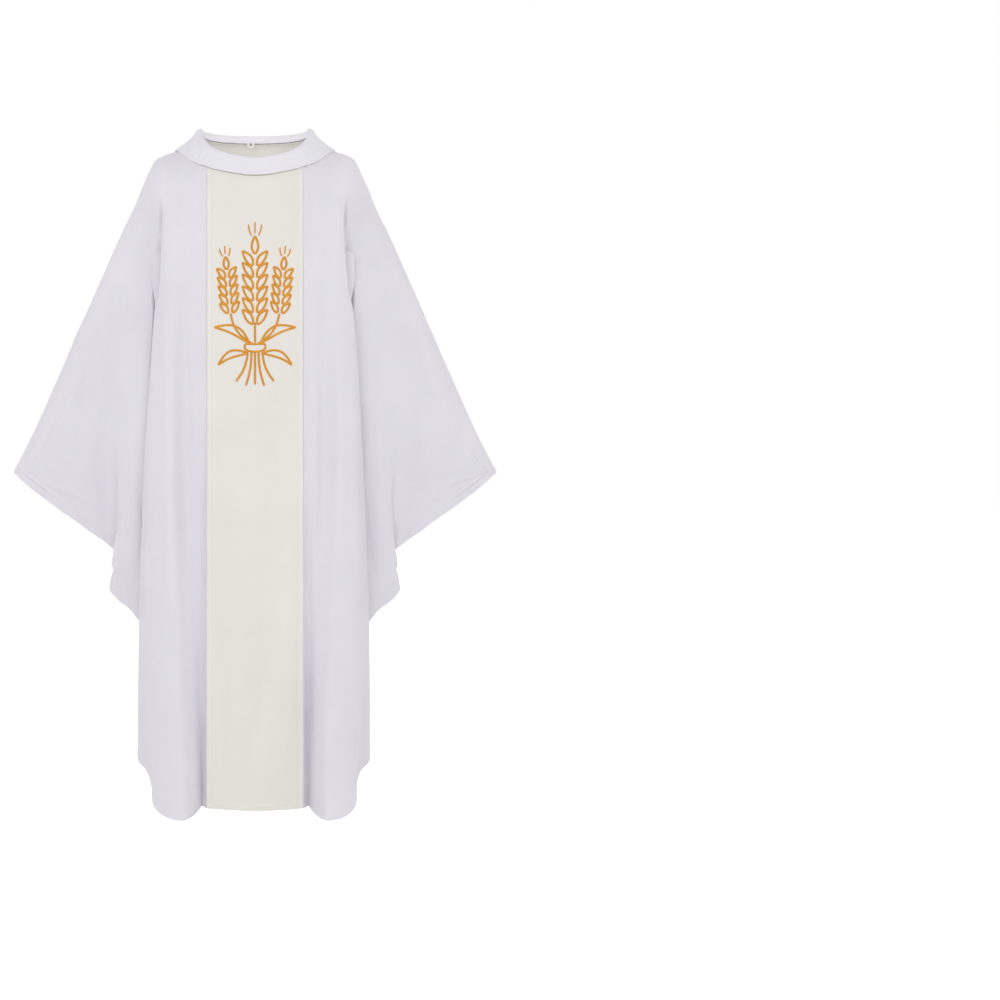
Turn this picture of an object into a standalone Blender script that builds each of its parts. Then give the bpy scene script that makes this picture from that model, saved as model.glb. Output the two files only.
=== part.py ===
"""A chasuble: the loose over-robe of a priest, open at the neck, sides and hem.

It hangs as on a wearer with the arms lowered, and nothing is inside it. The front faces -Y, the wearer's
left is +X, and the origin is level with the shoulders, midway between them. Lengths are in millimetres
until the meshes are made.

Each side of the robe is a front panel and a back panel of light cloth, joined along the shoulder and the
arm. Between them runs a band of ivory cloth, front and back, with a narrow tape along each edge. A rolled
collar closes the neck, and a small loop of tape hangs inside it.
"""

import collections
import math

import bpy
import numpy as np

MM = 0.001

CLOTH = 1.5
COLLAR_CLOTH = 2.0
TAPE_CLOTH = 1.0
SEAM_GAP = 0.3

BAND_HALF = 88.0
BAND_PARTS = 4
TAPE_WIDTH = 8.5

# The neckline, seen from above, is a rounded oblong. It dips at the front.
NECK_HALF = 97.0
NECK_SQUARE = 2.3
NECK_DEPTH = {"front": 93.0, "back": 77.0}
NECK_Z = {"side": 43.0, "front": -29.0, "back": 47.0}
NECK_TURN = 0.05

# The cloth turns down from the shoulder and the arm over this height. It starts level, except in front
# of the neck, where it slopes at once, and this width of the shoulder lies between the two.
ROLL = 110.0
SLOPE_POWER = 1.5
SLOPE_WIDTH = 90.0
# How far below its top a fold line reaches the course that the table gives it.
SETTLE = 170.0
# The back hangs nearer to the body than the front by this share of what passes the arm's depth.
BACK_SHARE = 0.25
ARM_DEPTH = 50.0

ROLL_ROWS = 5
HANG_ROWS = 10
COLUMNS_PER_FOLD = 2

FACES = {"front": -1.0, "back": 1.0}
SIDES = {"left": 1.0, "right": -1.0}

# The ridge line of the robe in front view, from the neckline over the shoulder and down the arm.
Ridge = collections.namedtuple("Ridge", "x z")
RIDGE = (
    Ridge(x=97.0, z=43.0),
    Ridge(x=125.0, z=28.0),
    Ridge(x=153.0, z=14.0),
    Ridge(x=178.0, z=4.0),
    Ridge(x=190.0, z=-4.0),
    Ridge(x=201.0, z=-26.0),
    Ridge(x=219.0, z=-66.0),
    Ridge(x=268.0, z=-172.0),
    Ridge(x=352.0, z=-363.0),
    Ridge(x=439.0, z=-554.0),
    Ridge(x=458.0, z=-590.0),
)

# The five sections that the fold table gives, and their heights.
SECTIONS = ("shoulder", "chest", "elbow", "underarm", "hem")
LEVELS = (-110.0, -275.0, -560.0, -820.0, -1200.0)

# The middle of the band: its depth in front of the shoulder line at each level, and its lowest point.
BAND_MIDDLE = (124.0, 128.0, 131.0, 136.0, 136.0)
BAND_CUT = -1218.0

# A row for each crest and valley of a side panel, from the band to the wrist. "top" is where it leaves
# the neckline or the ridge line, each section gives x and depth, and "cut" is the height of the hem.
Fold = collections.namedtuple("Fold", "name top shoulder chest elbow underarm hem cut")
FOLDS = (
    Fold("band seam", 88.0, (88, 118), (88, 122), (88, 127), (88, 132), (88, 132), -1214),
    Fold("groove", 94.5, (97, 117), (97, 119), (98, 121), (98, 119), (98, 116), -1212),
    Fold("neck point", 97.0, (106, 116), (110, 118), (112, 119), (108, 121), (104, 130), -1217),
    Fold("inner trough", 114.0, (121, 115), (127, 118), (129, 118), (121, 131), (112, 153), -1223),
    Fold("lobe crest", 134.0, (139, 113), (147, 121), (152, 133), (145, 150), (131, 175), -1228),
    Fold("lobe outer", 152.0, (155, 110), (165, 114), (175, 120), (174, 134), (164, 160), -1223),
    Fold("lobe corner", 168.0, (166, 107), (178, 104), (192, 102), (199, 104), (186, 127), -1208),
    Fold("side wall", 179.0, (172, 103), (186, 96), (201, 88), (209, 80), (189, 96), -1182),
    Fold("side front", 187.0, (178, 99), (189, 90), (203, 79), (214, 66), (200, 73), -1156),
    Fold("side crest", 194.0, (182, 95), (190, 83), (203, 70), (216, 55), (220, 56), -1136),
    Fold("side back", 200.0, (186, 91), (187, 75), (198, 60), (211, 44), (214, 42), -1093),
    Fold("valley", 206.0, (191, 86), (184, 66), (188, 50), (197, 34), (199, 34), -985),
    Fold("sleeve inner", 213.0, (199, 79), (189, 58), (192, 42), (202, 24), (202, 24), -905),
    Fold("underarm inner", 226.0, (212, 68), (210, 53), (217, 42), (231, 18), (233, 18), -864),
    Fold("underarm crest", 250.0, (234, 60), (238, 51), (246, 40), (273, 18), (273, 18), -820),
    Fold("notch", 283.0, (268, 56), (270, 50), (272, 40), (259, 34), (259, 34), -752),
    Fold("sleeve low", 328.0, (318, 52), (318, 50), (320, 46), (320, 40), (320, 40), -704),
    Fold("sleeve mid", 374.0, (369, 48), (369, 48), (371, 44), (371, 40), (371, 40), -667),
    Fold("sleeve outer", 414.0, (411, 44), (411, 44), (411, 42), (411, 38), (411, 38), -637),
    Fold("cuff", 441.0, (440, 40), (440, 40), (440, 38), (440, 36), (440, 36), -613),
    Fold("wrist", 458.0, (458, 36), (458, 36), (458, 34), (458, 34), (458, 34), -599),
)

# The collar's section at any place: how far outside the neck seam and above it each line runs.
STAND = ((0.0, 1.9), (-0.6, 7.0), (-0.4, 12.5), (2.6, 16.2), (6.6, 15.0))
# The fall lies over the cloth below: the share of its way to the edge, and its height above that cloth.
FALL = ((0.30, 12.0), (0.55, 9.4), (0.80, 7.0), (1.0, 5.6))
COLLAR_HALF = 155.0
COLLAR_PULL = {"front": 1.5, "back": 1.3}
COLLAR_STATIONS = 11
# The lower edge of the collar in front view: x, and the height of the cloth that it lies on.
CollarEdge = collections.namedtuple("CollarEdge", "x front back")
COLLAR_EDGE = (
    CollarEdge(x=0.0, front=-54.0, back=-2.0),
    CollarEdge(x=20.0, front=-53.0, back=-2.0),
    CollarEdge(x=45.0, front=-48.0, back=-1.0),
    CollarEdge(x=89.0, front=-34.0, back=1.0),
    CollarEdge(x=119.0, front=-16.0, back=8.0),
    CollarEdge(x=140.0, front=2.0, back=14.5),
    CollarEdge(x=155.0, front=13.0, back=13.0),
)
LEAN_OUT = 0.8
LEAN_UP = 0.6

# The loop hangs a little to the wearer's right of the middle, clear of the collar's inner side.
LOOP_X = -8.0
LOOP_WIDTH = 14.0
LOOP_TAPE = 4.2
LOOP_DROP = 12.0
LOOP_CLOTH = 1.0
LOOP_RISE = 4.0
LOOP_STAND_OFF = 1.0
LOOP_PARTS = 10


def smooth(knots, values, at):
    """A smooth curve through values at rising knots, level beyond both ends."""
    knots = np.asarray(knots, float)
    values = np.asarray(values, float)
    steps = np.diff(knots)
    rises = np.diff(values) / steps
    slopes = np.empty(len(knots))
    slopes[1:-1] = (rises[:-1] * steps[1:] + rises[1:] * steps[:-1]) / (steps[:-1] + steps[1:])
    slopes[0] = rises[0]
    slopes[-1] = rises[-1]
    at = np.clip(np.asarray(at, float), knots[0], knots[-1])
    span = np.clip(np.searchsorted(knots, at, side="right") - 1, 0, len(steps) - 1)
    share = (at - knots[span]) / steps[span]
    left = values[span]
    right = values[span + 1]
    bend = steps[span] * (
        slopes[span] * share * (1 - share) ** 2 - slopes[span + 1] * share**2 * (1 - share)
    )
    return left + (right - left) * share**2 * (3 - 2 * share) + bend


def ease(share):
    """From 0 to 1, level at both ends."""
    share = np.clip(share, 0.0, 1.0)
    return share * share * (3 - 2 * share)


def neckline(x, face):
    """The y and z of the neckline above x."""
    reach = (1 - min(abs(x) / NECK_HALF, 1.0) ** NECK_SQUARE) ** (1 / NECK_SQUARE)
    turn = (math.hypot(reach, NECK_TURN) - NECK_TURN) / (math.hypot(1, NECK_TURN) - NECK_TURN)
    z = NECK_Z["side"] + (NECK_Z[face] - NECK_Z["side"]) * turn
    return FACES[face] * (NECK_DEPTH[face] * reach + SEAM_GAP), z


def top_of(x, face):
    """The y and z where the cloth above x begins."""
    if x < NECK_HALF:
        return neckline(x, face)
    z = float(smooth([ridge.x for ridge in RIDGE], [ridge.z for ridge in RIDGE], x))
    return FACES[face] * SEAM_GAP, z


def depth_of(depth, face):
    """The depth of a fold on this face, from the depth in the table."""
    if face == "front":
        return depth
    return depth - BACK_SHARE * np.maximum(depth - ARM_DEPTH, 0.0)


def course(place):
    """What the tables say at a place across the cloth: its top x, its x and depth by level, and its cut.

    From 0 to 1 the place runs over half the band, and each whole number after that is a fold.
    """
    if place <= 1:
        x = BAND_HALF * place
        seam = FOLDS[0]
        across = place * place
        edge = [getattr(seam, section)[1] for section in SECTIONS]
        depths = [middle + (side - middle) * across for middle, side in zip(BAND_MIDDLE, edge)]
        return x, [x] * len(LEVELS), depths, BAND_CUT + (seam.cut - BAND_CUT) * across
    number = place - 1
    rows = range(len(FOLDS))
    top = float(np.interp(number, rows, [fold.top for fold in FOLDS]))
    cut = float(smooth(rows, [fold.cut for fold in FOLDS], number))
    xs = []
    depths = []
    for section in SECTIONS:
        points = [getattr(fold, section) for fold in FOLDS]
        xs.append(float(smooth(rows, [x for x, _ in points], number)))
        depths.append(float(smooth(rows, [depth for _, depth in points], number)))
    return top, xs, depths, cut


def by_level(values, z):
    """A value that the table gives by level, at any height."""
    return smooth(LEVELS[::-1], values[::-1], z)


def level_turn(share):
    """How far the cloth has come forward where it starts level, by its share of the roll."""
    return np.sqrt(1 - (1 - np.clip(share, 0.0, 1.0)) ** 2)


def sloped_turn(share, left):
    """The same where it starts on the slope, with this share of the depth left to go."""
    rest = np.clip(left ** (1 / SLOPE_POWER) - share, 0.0, 1.0)
    return 1 - rest**SLOPE_POWER / left


def cloth_at(place, z, face):
    """The points of the cloth at a place across it, at these heights."""
    top_x, xs, depths, _ = course(place)
    top_y, top_z = top_of(top_x, face)
    z = np.minimum(np.asarray(z, float), top_z)
    fallen = top_z - z
    start = top_x - by_level(xs, top_z)
    x = by_level(xs, z) + start * (1 - ease(fallen / SETTLE))
    hung = FACES[face] * depth_of(by_level(depths, z), face)
    level_start = ease((top_x - NECK_HALF) / SLOPE_WIDTH) if face == "front" else 1.0
    sloped = sloped_turn(fallen / ROLL, 1 - top_y / hung)
    y = top_y + (hung - top_y) * (level_turn(fallen / ROLL) * level_start + sloped * (1 - level_start))
    return np.stack([x, y, z], axis=-1)


def line_down(place, face):
    """One line of the cloth from its top to the hem, with more points where it turns over."""
    top_x, _, _, cut = course(place)
    top_z = top_of(top_x, face)[1]
    length = top_z - cut
    turn = ROLL * length / (length + ROLL)
    last = math.acos(1 - turn / ROLL)
    rolled = [ROLL * (1 - math.cos(last * i / ROLL_ROWS)) for i in range(ROLL_ROWS)]
    hung = [turn + (length - turn) * i / HANG_ROWS for i in range(HANG_ROWS + 1)]
    return cloth_at(place, top_z - np.array(rolled + hung), face)


def place_of(x):
    """The place across the cloth whose top is at this x."""
    if x <= BAND_HALF:
        return x / BAND_HALF
    return 1 + float(np.interp(x, [fold.top for fold in FOLDS], range(len(FOLDS))))


def moved_out(grid, distance, face):
    """A grid of cloth points moved out along the cloth's own direction."""
    down = np.gradient(grid, axis=0)
    across = np.gradient(grid, axis=1)
    normal = np.cross(across, down)
    normal /= np.linalg.norm(normal, axis=-1, keepdims=True)
    normal *= np.where(normal[..., 1:2] * FACES[face] < 0, -1.0, 1.0)
    return grid + normal * distance


def cloth_material(name, colour, roughness):
    material = bpy.data.materials.new(name)
    material.use_nodes = True
    shader = material.node_tree.nodes["Principled BSDF"]
    shader.inputs["Base Color"].default_value = (*colour, 1.0)
    shader.inputs["Roughness"].default_value = roughness
    shader.inputs["Metallic"].default_value = 0.0
    return material


def sheet(name, grid, thickness, material, collection, ring=False):
    """A wall of cloth through a grid of points. Each square is cut along its shorter diagonal."""
    rows, columns = grid.shape[:2]
    points = grid.reshape(-1, 3)
    faces = []
    for row in range(rows - 1):
        for column in range(columns if ring else columns - 1):
            after = (column + 1) % columns
            a = row * columns + column
            b = row * columns + after
            c = (row + 1) * columns + after
            d = (row + 1) * columns + column
            if np.linalg.norm(points[a] - points[c]) < np.linalg.norm(points[b] - points[d]):
                faces += [(a, b, c), (a, c, d)]
            else:
                faces += [(a, b, d), (b, c, d)]
    mesh = bpy.data.meshes.new(name)
    mesh.from_pydata((points * MM).tolist(), [], faces)
    mesh.shade_smooth()
    mesh.materials.append(material)
    piece = bpy.data.objects.new(name, mesh)
    collection.objects.link(piece)
    wall = piece.modifiers.new("Wall", "SOLIDIFY")
    wall.thickness = thickness * MM
    wall.offset = 0.0
    return piece


def make_panels(material, collection):
    """The four side panels, from the band to the wrist.

    At the band's seam a panel's edge steps back by more where its first strip leans, so that the whole
    thickness of its rim stays clear of the band.
    """
    count = (len(FOLDS) - 1) * COLUMNS_PER_FOLD
    places = [1 + i / COLUMNS_PER_FOLD for i in range(count + 1)]
    for face in FACES:
        grid = np.stack([line_down(place, face) for place in places], axis=1)
        strip = grid[:, 1] - grid[:, 0]
        lean = np.hypot(strip[:, 1], strip[:, 2]) / np.linalg.norm(strip, axis=1)
        grid[:, 0, 0] += SEAM_GAP + CLOTH / 2 * lean
        for side, sign in SIDES.items():
            sheet(f"{face}_{side}_panel", grid * (sign, 1, 1), CLOTH, material, collection)


def band_grid(xs, face):
    """Lines of the band at these x, each from the neckline to the hem."""
    lines = []
    for x in xs:
        lines.append(line_down(abs(x) / BAND_HALF, face) * (math.copysign(1, x), 1, 1))
    return np.stack(lines, axis=1)


def make_bands(material, collection):
    """The ivory bands, set in between the side panels."""
    inner = BAND_HALF - TAPE_WIDTH
    xs = [inner * i / BAND_PARTS for i in range(-BAND_PARTS, BAND_PARTS + 1)]
    for face in FACES:
        grid = band_grid([-BAND_HALF] + xs + [BAND_HALF], face)
        sheet(f"{face}_band", grid, CLOTH, material, collection)


def make_tapes(material, collection):
    """A narrow tape on each edge of each band, from the band's own points."""
    lift = CLOTH / 2 + SEAM_GAP + TAPE_CLOTH / 2
    for face in FACES:
        grid = moved_out(band_grid([BAND_HALF - TAPE_WIDTH, BAND_HALF], face), lift, face)
        for side, sign in SIDES.items():
            sheet(f"{face}_{side}_tape", grid[1:] * (sign, 1, 1), TAPE_CLOTH, material, collection)


def collar_section(angle, face):
    """The collar's lines at one station, from the neck seam over the fold to the lower edge."""
    x = NECK_HALF * math.cos(angle) ** (2 / NECK_SQUARE)
    y, z = neckline(x, face)
    seam = np.array([x, y, z])
    edge_x = COLLAR_HALF * math.cos(angle) ** COLLAR_PULL[face]
    heights = [getattr(edge, face) for edge in COLLAR_EDGE]
    edge_z = float(smooth([edge.x for edge in COLLAR_EDGE], heights, edge_x))
    end = cloth_at(place_of(edge_x), edge_z, face)
    out = np.array([end[0] - x, end[1] - y, 0.0])
    out /= np.linalg.norm(out)
    up = np.array([0.0, 0.0, 1.0])
    lines = [seam + out * outward + up * rise for outward, rise in STAND]
    for share, height in FALL:
        on_x = x + (edge_x - x) * share
        on_z = z + (edge_z - z) * share
        under = cloth_at(place_of(on_x), on_z, face)
        lines.append(under + (out * LEAN_OUT + up * LEAN_UP) * height)
    return np.array(lines)


def make_collar(material, collection):
    """The rolled collar, one ring of stations round the neck."""
    angles = [math.pi / 2 * i / COLLAR_STATIONS for i in range(COLLAR_STATIONS + 1)]
    front = [collar_section(angle, "front") for angle in angles]
    back = [collar_section(angle, "back") for angle in angles]
    half = front[::-1] + back[1:]
    half[0][:, 0] = 0.0
    half[-1][:, 0] = 0.0
    mirrored = [section * (-1, 1, 1) for section in half[-2:0:-1]]
    grid = np.stack(half + mirrored, axis=1)
    sheet("collar", grid, COLLAR_CLOTH, material, collection, ring=True)


def make_loop(material, collection):
    """The hanging loop: a flat tape bent into a U, under the collar at the back of the neck."""
    y, z = neckline(0.0, "back")
    outline = bpy.data.curves.new("neck_loop", "CURVE")
    outline.dimensions = "2D"
    outline.fill_mode = "BOTH"
    outline.extrude = LOOP_CLOTH / 2 * MM
    spline = outline.splines.new("POLY")
    outer = LOOP_WIDTH / 2
    inner = outer - LOOP_TAPE
    bend = -(LOOP_DROP - outer)
    turn = [math.pi * i / LOOP_PARTS for i in range(LOOP_PARTS + 1)]
    points = [(outer, 0.0)]
    points += [(outer * math.cos(angle), bend - outer * math.sin(angle)) for angle in turn]
    points += [(-outer, 0.0), (-inner, 0.0)]
    points += [(-inner * math.cos(angle), bend - inner * math.sin(angle)) for angle in turn]
    points += [(inner, 0.0)]
    spline.points.add(len(points) - 1)
    for point, (across, down) in zip(spline.points, points):
        point.co = (across * MM, down * MM, 0.0, 1.0)
    spline.use_cyclic_u = True
    loop = bpy.data.objects.new("neck_loop", outline)
    loop.rotation_euler = (math.pi / 2, 0.0, 0.0)
    stand_face = y - COLLAR_CLOTH / 2 - SEAM_GAP - LOOP_CLOTH / 2
    loop.location = (LOOP_X * MM, (stand_face - LOOP_STAND_OFF) * MM, (z + LOOP_RISE) * MM)
    loop.data.materials.append(material)
    collection.objects.link(loop)


def main():
    for obj in list(bpy.data.objects):
        bpy.data.objects.remove(obj)
    robe = bpy.data.collections.new("chasuble")
    bpy.context.scene.collection.children.link(robe)
    white = cloth_material("white_cloth", (0.74, 0.72, 0.78), 0.8)
    ivory = cloth_material("ivory_cloth", (0.76, 0.73, 0.68), 0.75)
    tape = cloth_material("edge_tape", (0.82, 0.79, 0.79), 0.6)
    make_panels(white, robe)
    make_bands(ivory, robe)
    make_tapes(tape, robe)
    make_collar(white, robe)
    make_loop(tape, robe)


main()
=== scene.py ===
"""A chasuble of white cloth with an ivory band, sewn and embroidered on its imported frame.

The robe hangs as on a wearer with the arms lowered. The front faces -Y, the wearer's left is +X and the
origin is level with the shoulders. The form repeats the sizes of the solids, in millimetres, until a mesh
is made. The soft creases, the sewing and the gold embroidery are added here.
"""

import logging
import math
import random
from collections.abc import Callable, Sequence
from dataclasses import dataclass, field
from enum import Enum

import bpy
import numpy as np
from mathutils import Matrix, Vector


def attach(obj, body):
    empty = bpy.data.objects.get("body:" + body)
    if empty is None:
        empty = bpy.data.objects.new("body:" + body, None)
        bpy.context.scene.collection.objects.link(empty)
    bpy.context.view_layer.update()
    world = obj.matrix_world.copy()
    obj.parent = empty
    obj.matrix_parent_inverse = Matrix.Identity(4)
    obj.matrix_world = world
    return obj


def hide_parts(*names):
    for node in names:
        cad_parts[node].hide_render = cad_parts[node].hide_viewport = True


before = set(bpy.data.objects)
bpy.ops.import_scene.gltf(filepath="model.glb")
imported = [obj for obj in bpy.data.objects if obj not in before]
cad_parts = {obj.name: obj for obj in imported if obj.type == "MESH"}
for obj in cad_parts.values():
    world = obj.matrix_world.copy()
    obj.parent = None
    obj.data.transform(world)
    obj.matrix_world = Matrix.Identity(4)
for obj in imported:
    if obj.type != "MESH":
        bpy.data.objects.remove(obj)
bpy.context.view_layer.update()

MM = 0.001
TINY = 1e-9
MERGE_WITHIN = 0.00001
SMOOTH_ANGLE = math.radians(55)
SHARP_ANGLE = math.radians(60)
# The folded part of a hem ends this far above the hem's height, and its stitches lie as far below it.
HEM_EDGE = 1.0
# The cloth changes from one thickness to the other over this length.
HEM_STEP = 1.5
WHITE = (1.0, 1.0, 1.0, 1.0)
log = logging.getLogger("chasuble")


class Face(Enum):
    """The front or the back of the robe, by the direction that it faces along Y."""

    FRONT = -1.0
    BACK = 1.0

    @property
    def word(self) -> str:
        """The face's name, as the nodes spell it."""
        return self.name.lower()


class Side(Enum):
    """The wearer's left or right, by its direction along X."""

    LEFT = 1.0
    RIGHT = -1.0

    @property
    def word(self) -> str:
        """The side's name, as the nodes spell it."""
        return self.name.lower()


class Edge(Enum):
    """An edge of a grid of cloth points, whose rows run down and whose columns run across."""

    TOP = "top"
    HEM = "hem"
    INNER = "inner"
    OUTER = "outer"


class Weave(Enum):
    """How a cloth's threads cross."""

    PLAIN = "plain"
    TWILL = "twill"


@dataclass(frozen=True)
class Ridge:
    """A point of the ridge line of the robe in front view."""

    x: float
    z: float


@dataclass(frozen=True)
class Fold:
    """A crest or valley of a side panel.

    top is where it leaves the neckline or the ridge line, each section gives x and depth, and cut is the
    height of the hem.
    """

    name: str
    top: float
    shoulder: tuple[float, float]
    chest: tuple[float, float]
    elbow: tuple[float, float]
    underarm: tuple[float, float]
    hem: tuple[float, float]
    cut: float

    def sections(self) -> list[tuple[float, float]]:
        """The five sections, from the top down."""
        return [self.shoulder, self.chest, self.elbow, self.underarm, self.hem]


@dataclass(frozen=True)
class CollarEdge:
    """A point of the collar's lower edge in front view, with its height at the front and at the back."""

    x: float
    front: float
    back: float


def smooth(knots: Sequence[float], values: Sequence[float], at: np.ndarray | float) -> np.ndarray:
    """A smooth curve through values at rising knots, level beyond both ends.

    Args:
        knots: Rising places along the curve.
        values: The curve's value at each knot.
        at: Where the curve is read.

    Returns:
        The values there.
    """
    knots = np.asarray(knots, float)
    values = np.asarray(values, float)
    steps = np.diff(knots)
    rises = np.diff(values) / steps
    slopes = np.empty(len(knots))
    slopes[1:-1] = (rises[:-1] * steps[1:] + rises[1:] * steps[:-1]) / (steps[:-1] + steps[1:])
    slopes[0] = rises[0]
    slopes[-1] = rises[-1]
    at = np.clip(np.asarray(at, float), knots[0], knots[-1])
    span = np.clip(np.searchsorted(knots, at, side="right") - 1, 0, len(steps) - 1)
    share = (at - knots[span]) / steps[span]
    left = values[span]
    right = values[span + 1]
    bend = steps[span] * (
        slopes[span] * share * (1 - share) ** 2 - slopes[span + 1] * share**2 * (1 - share)
    )
    return left + (right - left) * share**2 * (3 - 2 * share) + bend


def ease(share: np.ndarray | float) -> np.ndarray:
    """From 0 to 1, level at both ends."""
    share = np.clip(share, 0.0, 1.0)
    return share * share * (3 - 2 * share)


def between(at: np.ndarray, first: float, full: float, last: float, end: float) -> np.ndarray:
    """From 0 at first up to 1 from full to last, and down to 0 at end."""
    return ease((at - first) / (full - first)) * (1 - ease((at - last) / (end - last)))


def from_top(heights: Sequence[float], values: Sequence[float], z: np.ndarray | float) -> np.ndarray:
    """A smooth curve through values at heights that are given from the top down."""
    return smooth(heights[::-1], values[::-1], z)


def between_heights(z: np.ndarray, heights: tuple[float, float, float, float]) -> np.ndarray:
    """From 0 at the first height up to 1 from the second to the third, and down to 0 at the last."""
    return between(-z, *(-height for height in heights))


def lengths_along(grid: np.ndarray, axis: int) -> np.ndarray:
    """How far each point of a grid lies along its line, measured on the cloth.

    Args:
        grid: Points in rows and columns.
        axis: 0 to measure down the columns, 1 to measure across the rows.

    Returns:
        One length for each point, from 0 on the first row or column.
    """
    steps = np.linalg.norm(np.diff(grid, axis=axis), axis=-1)
    start = np.zeros_like(np.take(steps, [0], axis=axis))
    return np.concatenate([start, np.cumsum(steps, axis=axis)], axis=axis)


def unit(ways: np.ndarray) -> np.ndarray:
    """Vectors made one long, in the last axis."""
    return ways / np.maximum(np.linalg.norm(ways, axis=-1, keepdims=True), TINY)


def normals_of(grid: np.ndarray) -> np.ndarray:
    """Unit normals of a grid, on the side that its rows and columns give."""
    return unit(np.cross(np.gradient(grid, axis=0), np.gradient(grid, axis=1)))


def outward(normals: np.ndarray, face: Face) -> np.ndarray:
    """Normals turned to the outside of one face."""
    return normals * np.where(normals[..., 1:2] * face.value < 0, -1.0, 1.0)


def read_line(at: np.ndarray | float, reach: np.ndarray, points: np.ndarray) -> np.ndarray:
    """Points of a line at these places along it.

    Args:
        at: The places.
        reach: The place of each of the line's points, rising.
        points: The line's points, or what else it carries, one row for each.

    Returns:
        One row for each place.
    """
    return np.stack([np.interp(at, reach, points[:, axis]) for axis in range(points.shape[1])], axis=-1)


def reach_of(line: np.ndarray) -> np.ndarray:
    """How far each point of a line lies along it."""
    return np.concatenate([[0.0], np.cumsum(np.linalg.norm(np.diff(line, axis=0), axis=1))])


def hem_share(grid: np.ndarray, height: float) -> np.ndarray:
    """Where a hem of this height is folded double, from 0 to 1."""
    down = lengths_along(grid, 0)
    return ease((height + HEM_EDGE - (down[-1:] - down)) / HEM_STEP)


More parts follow.
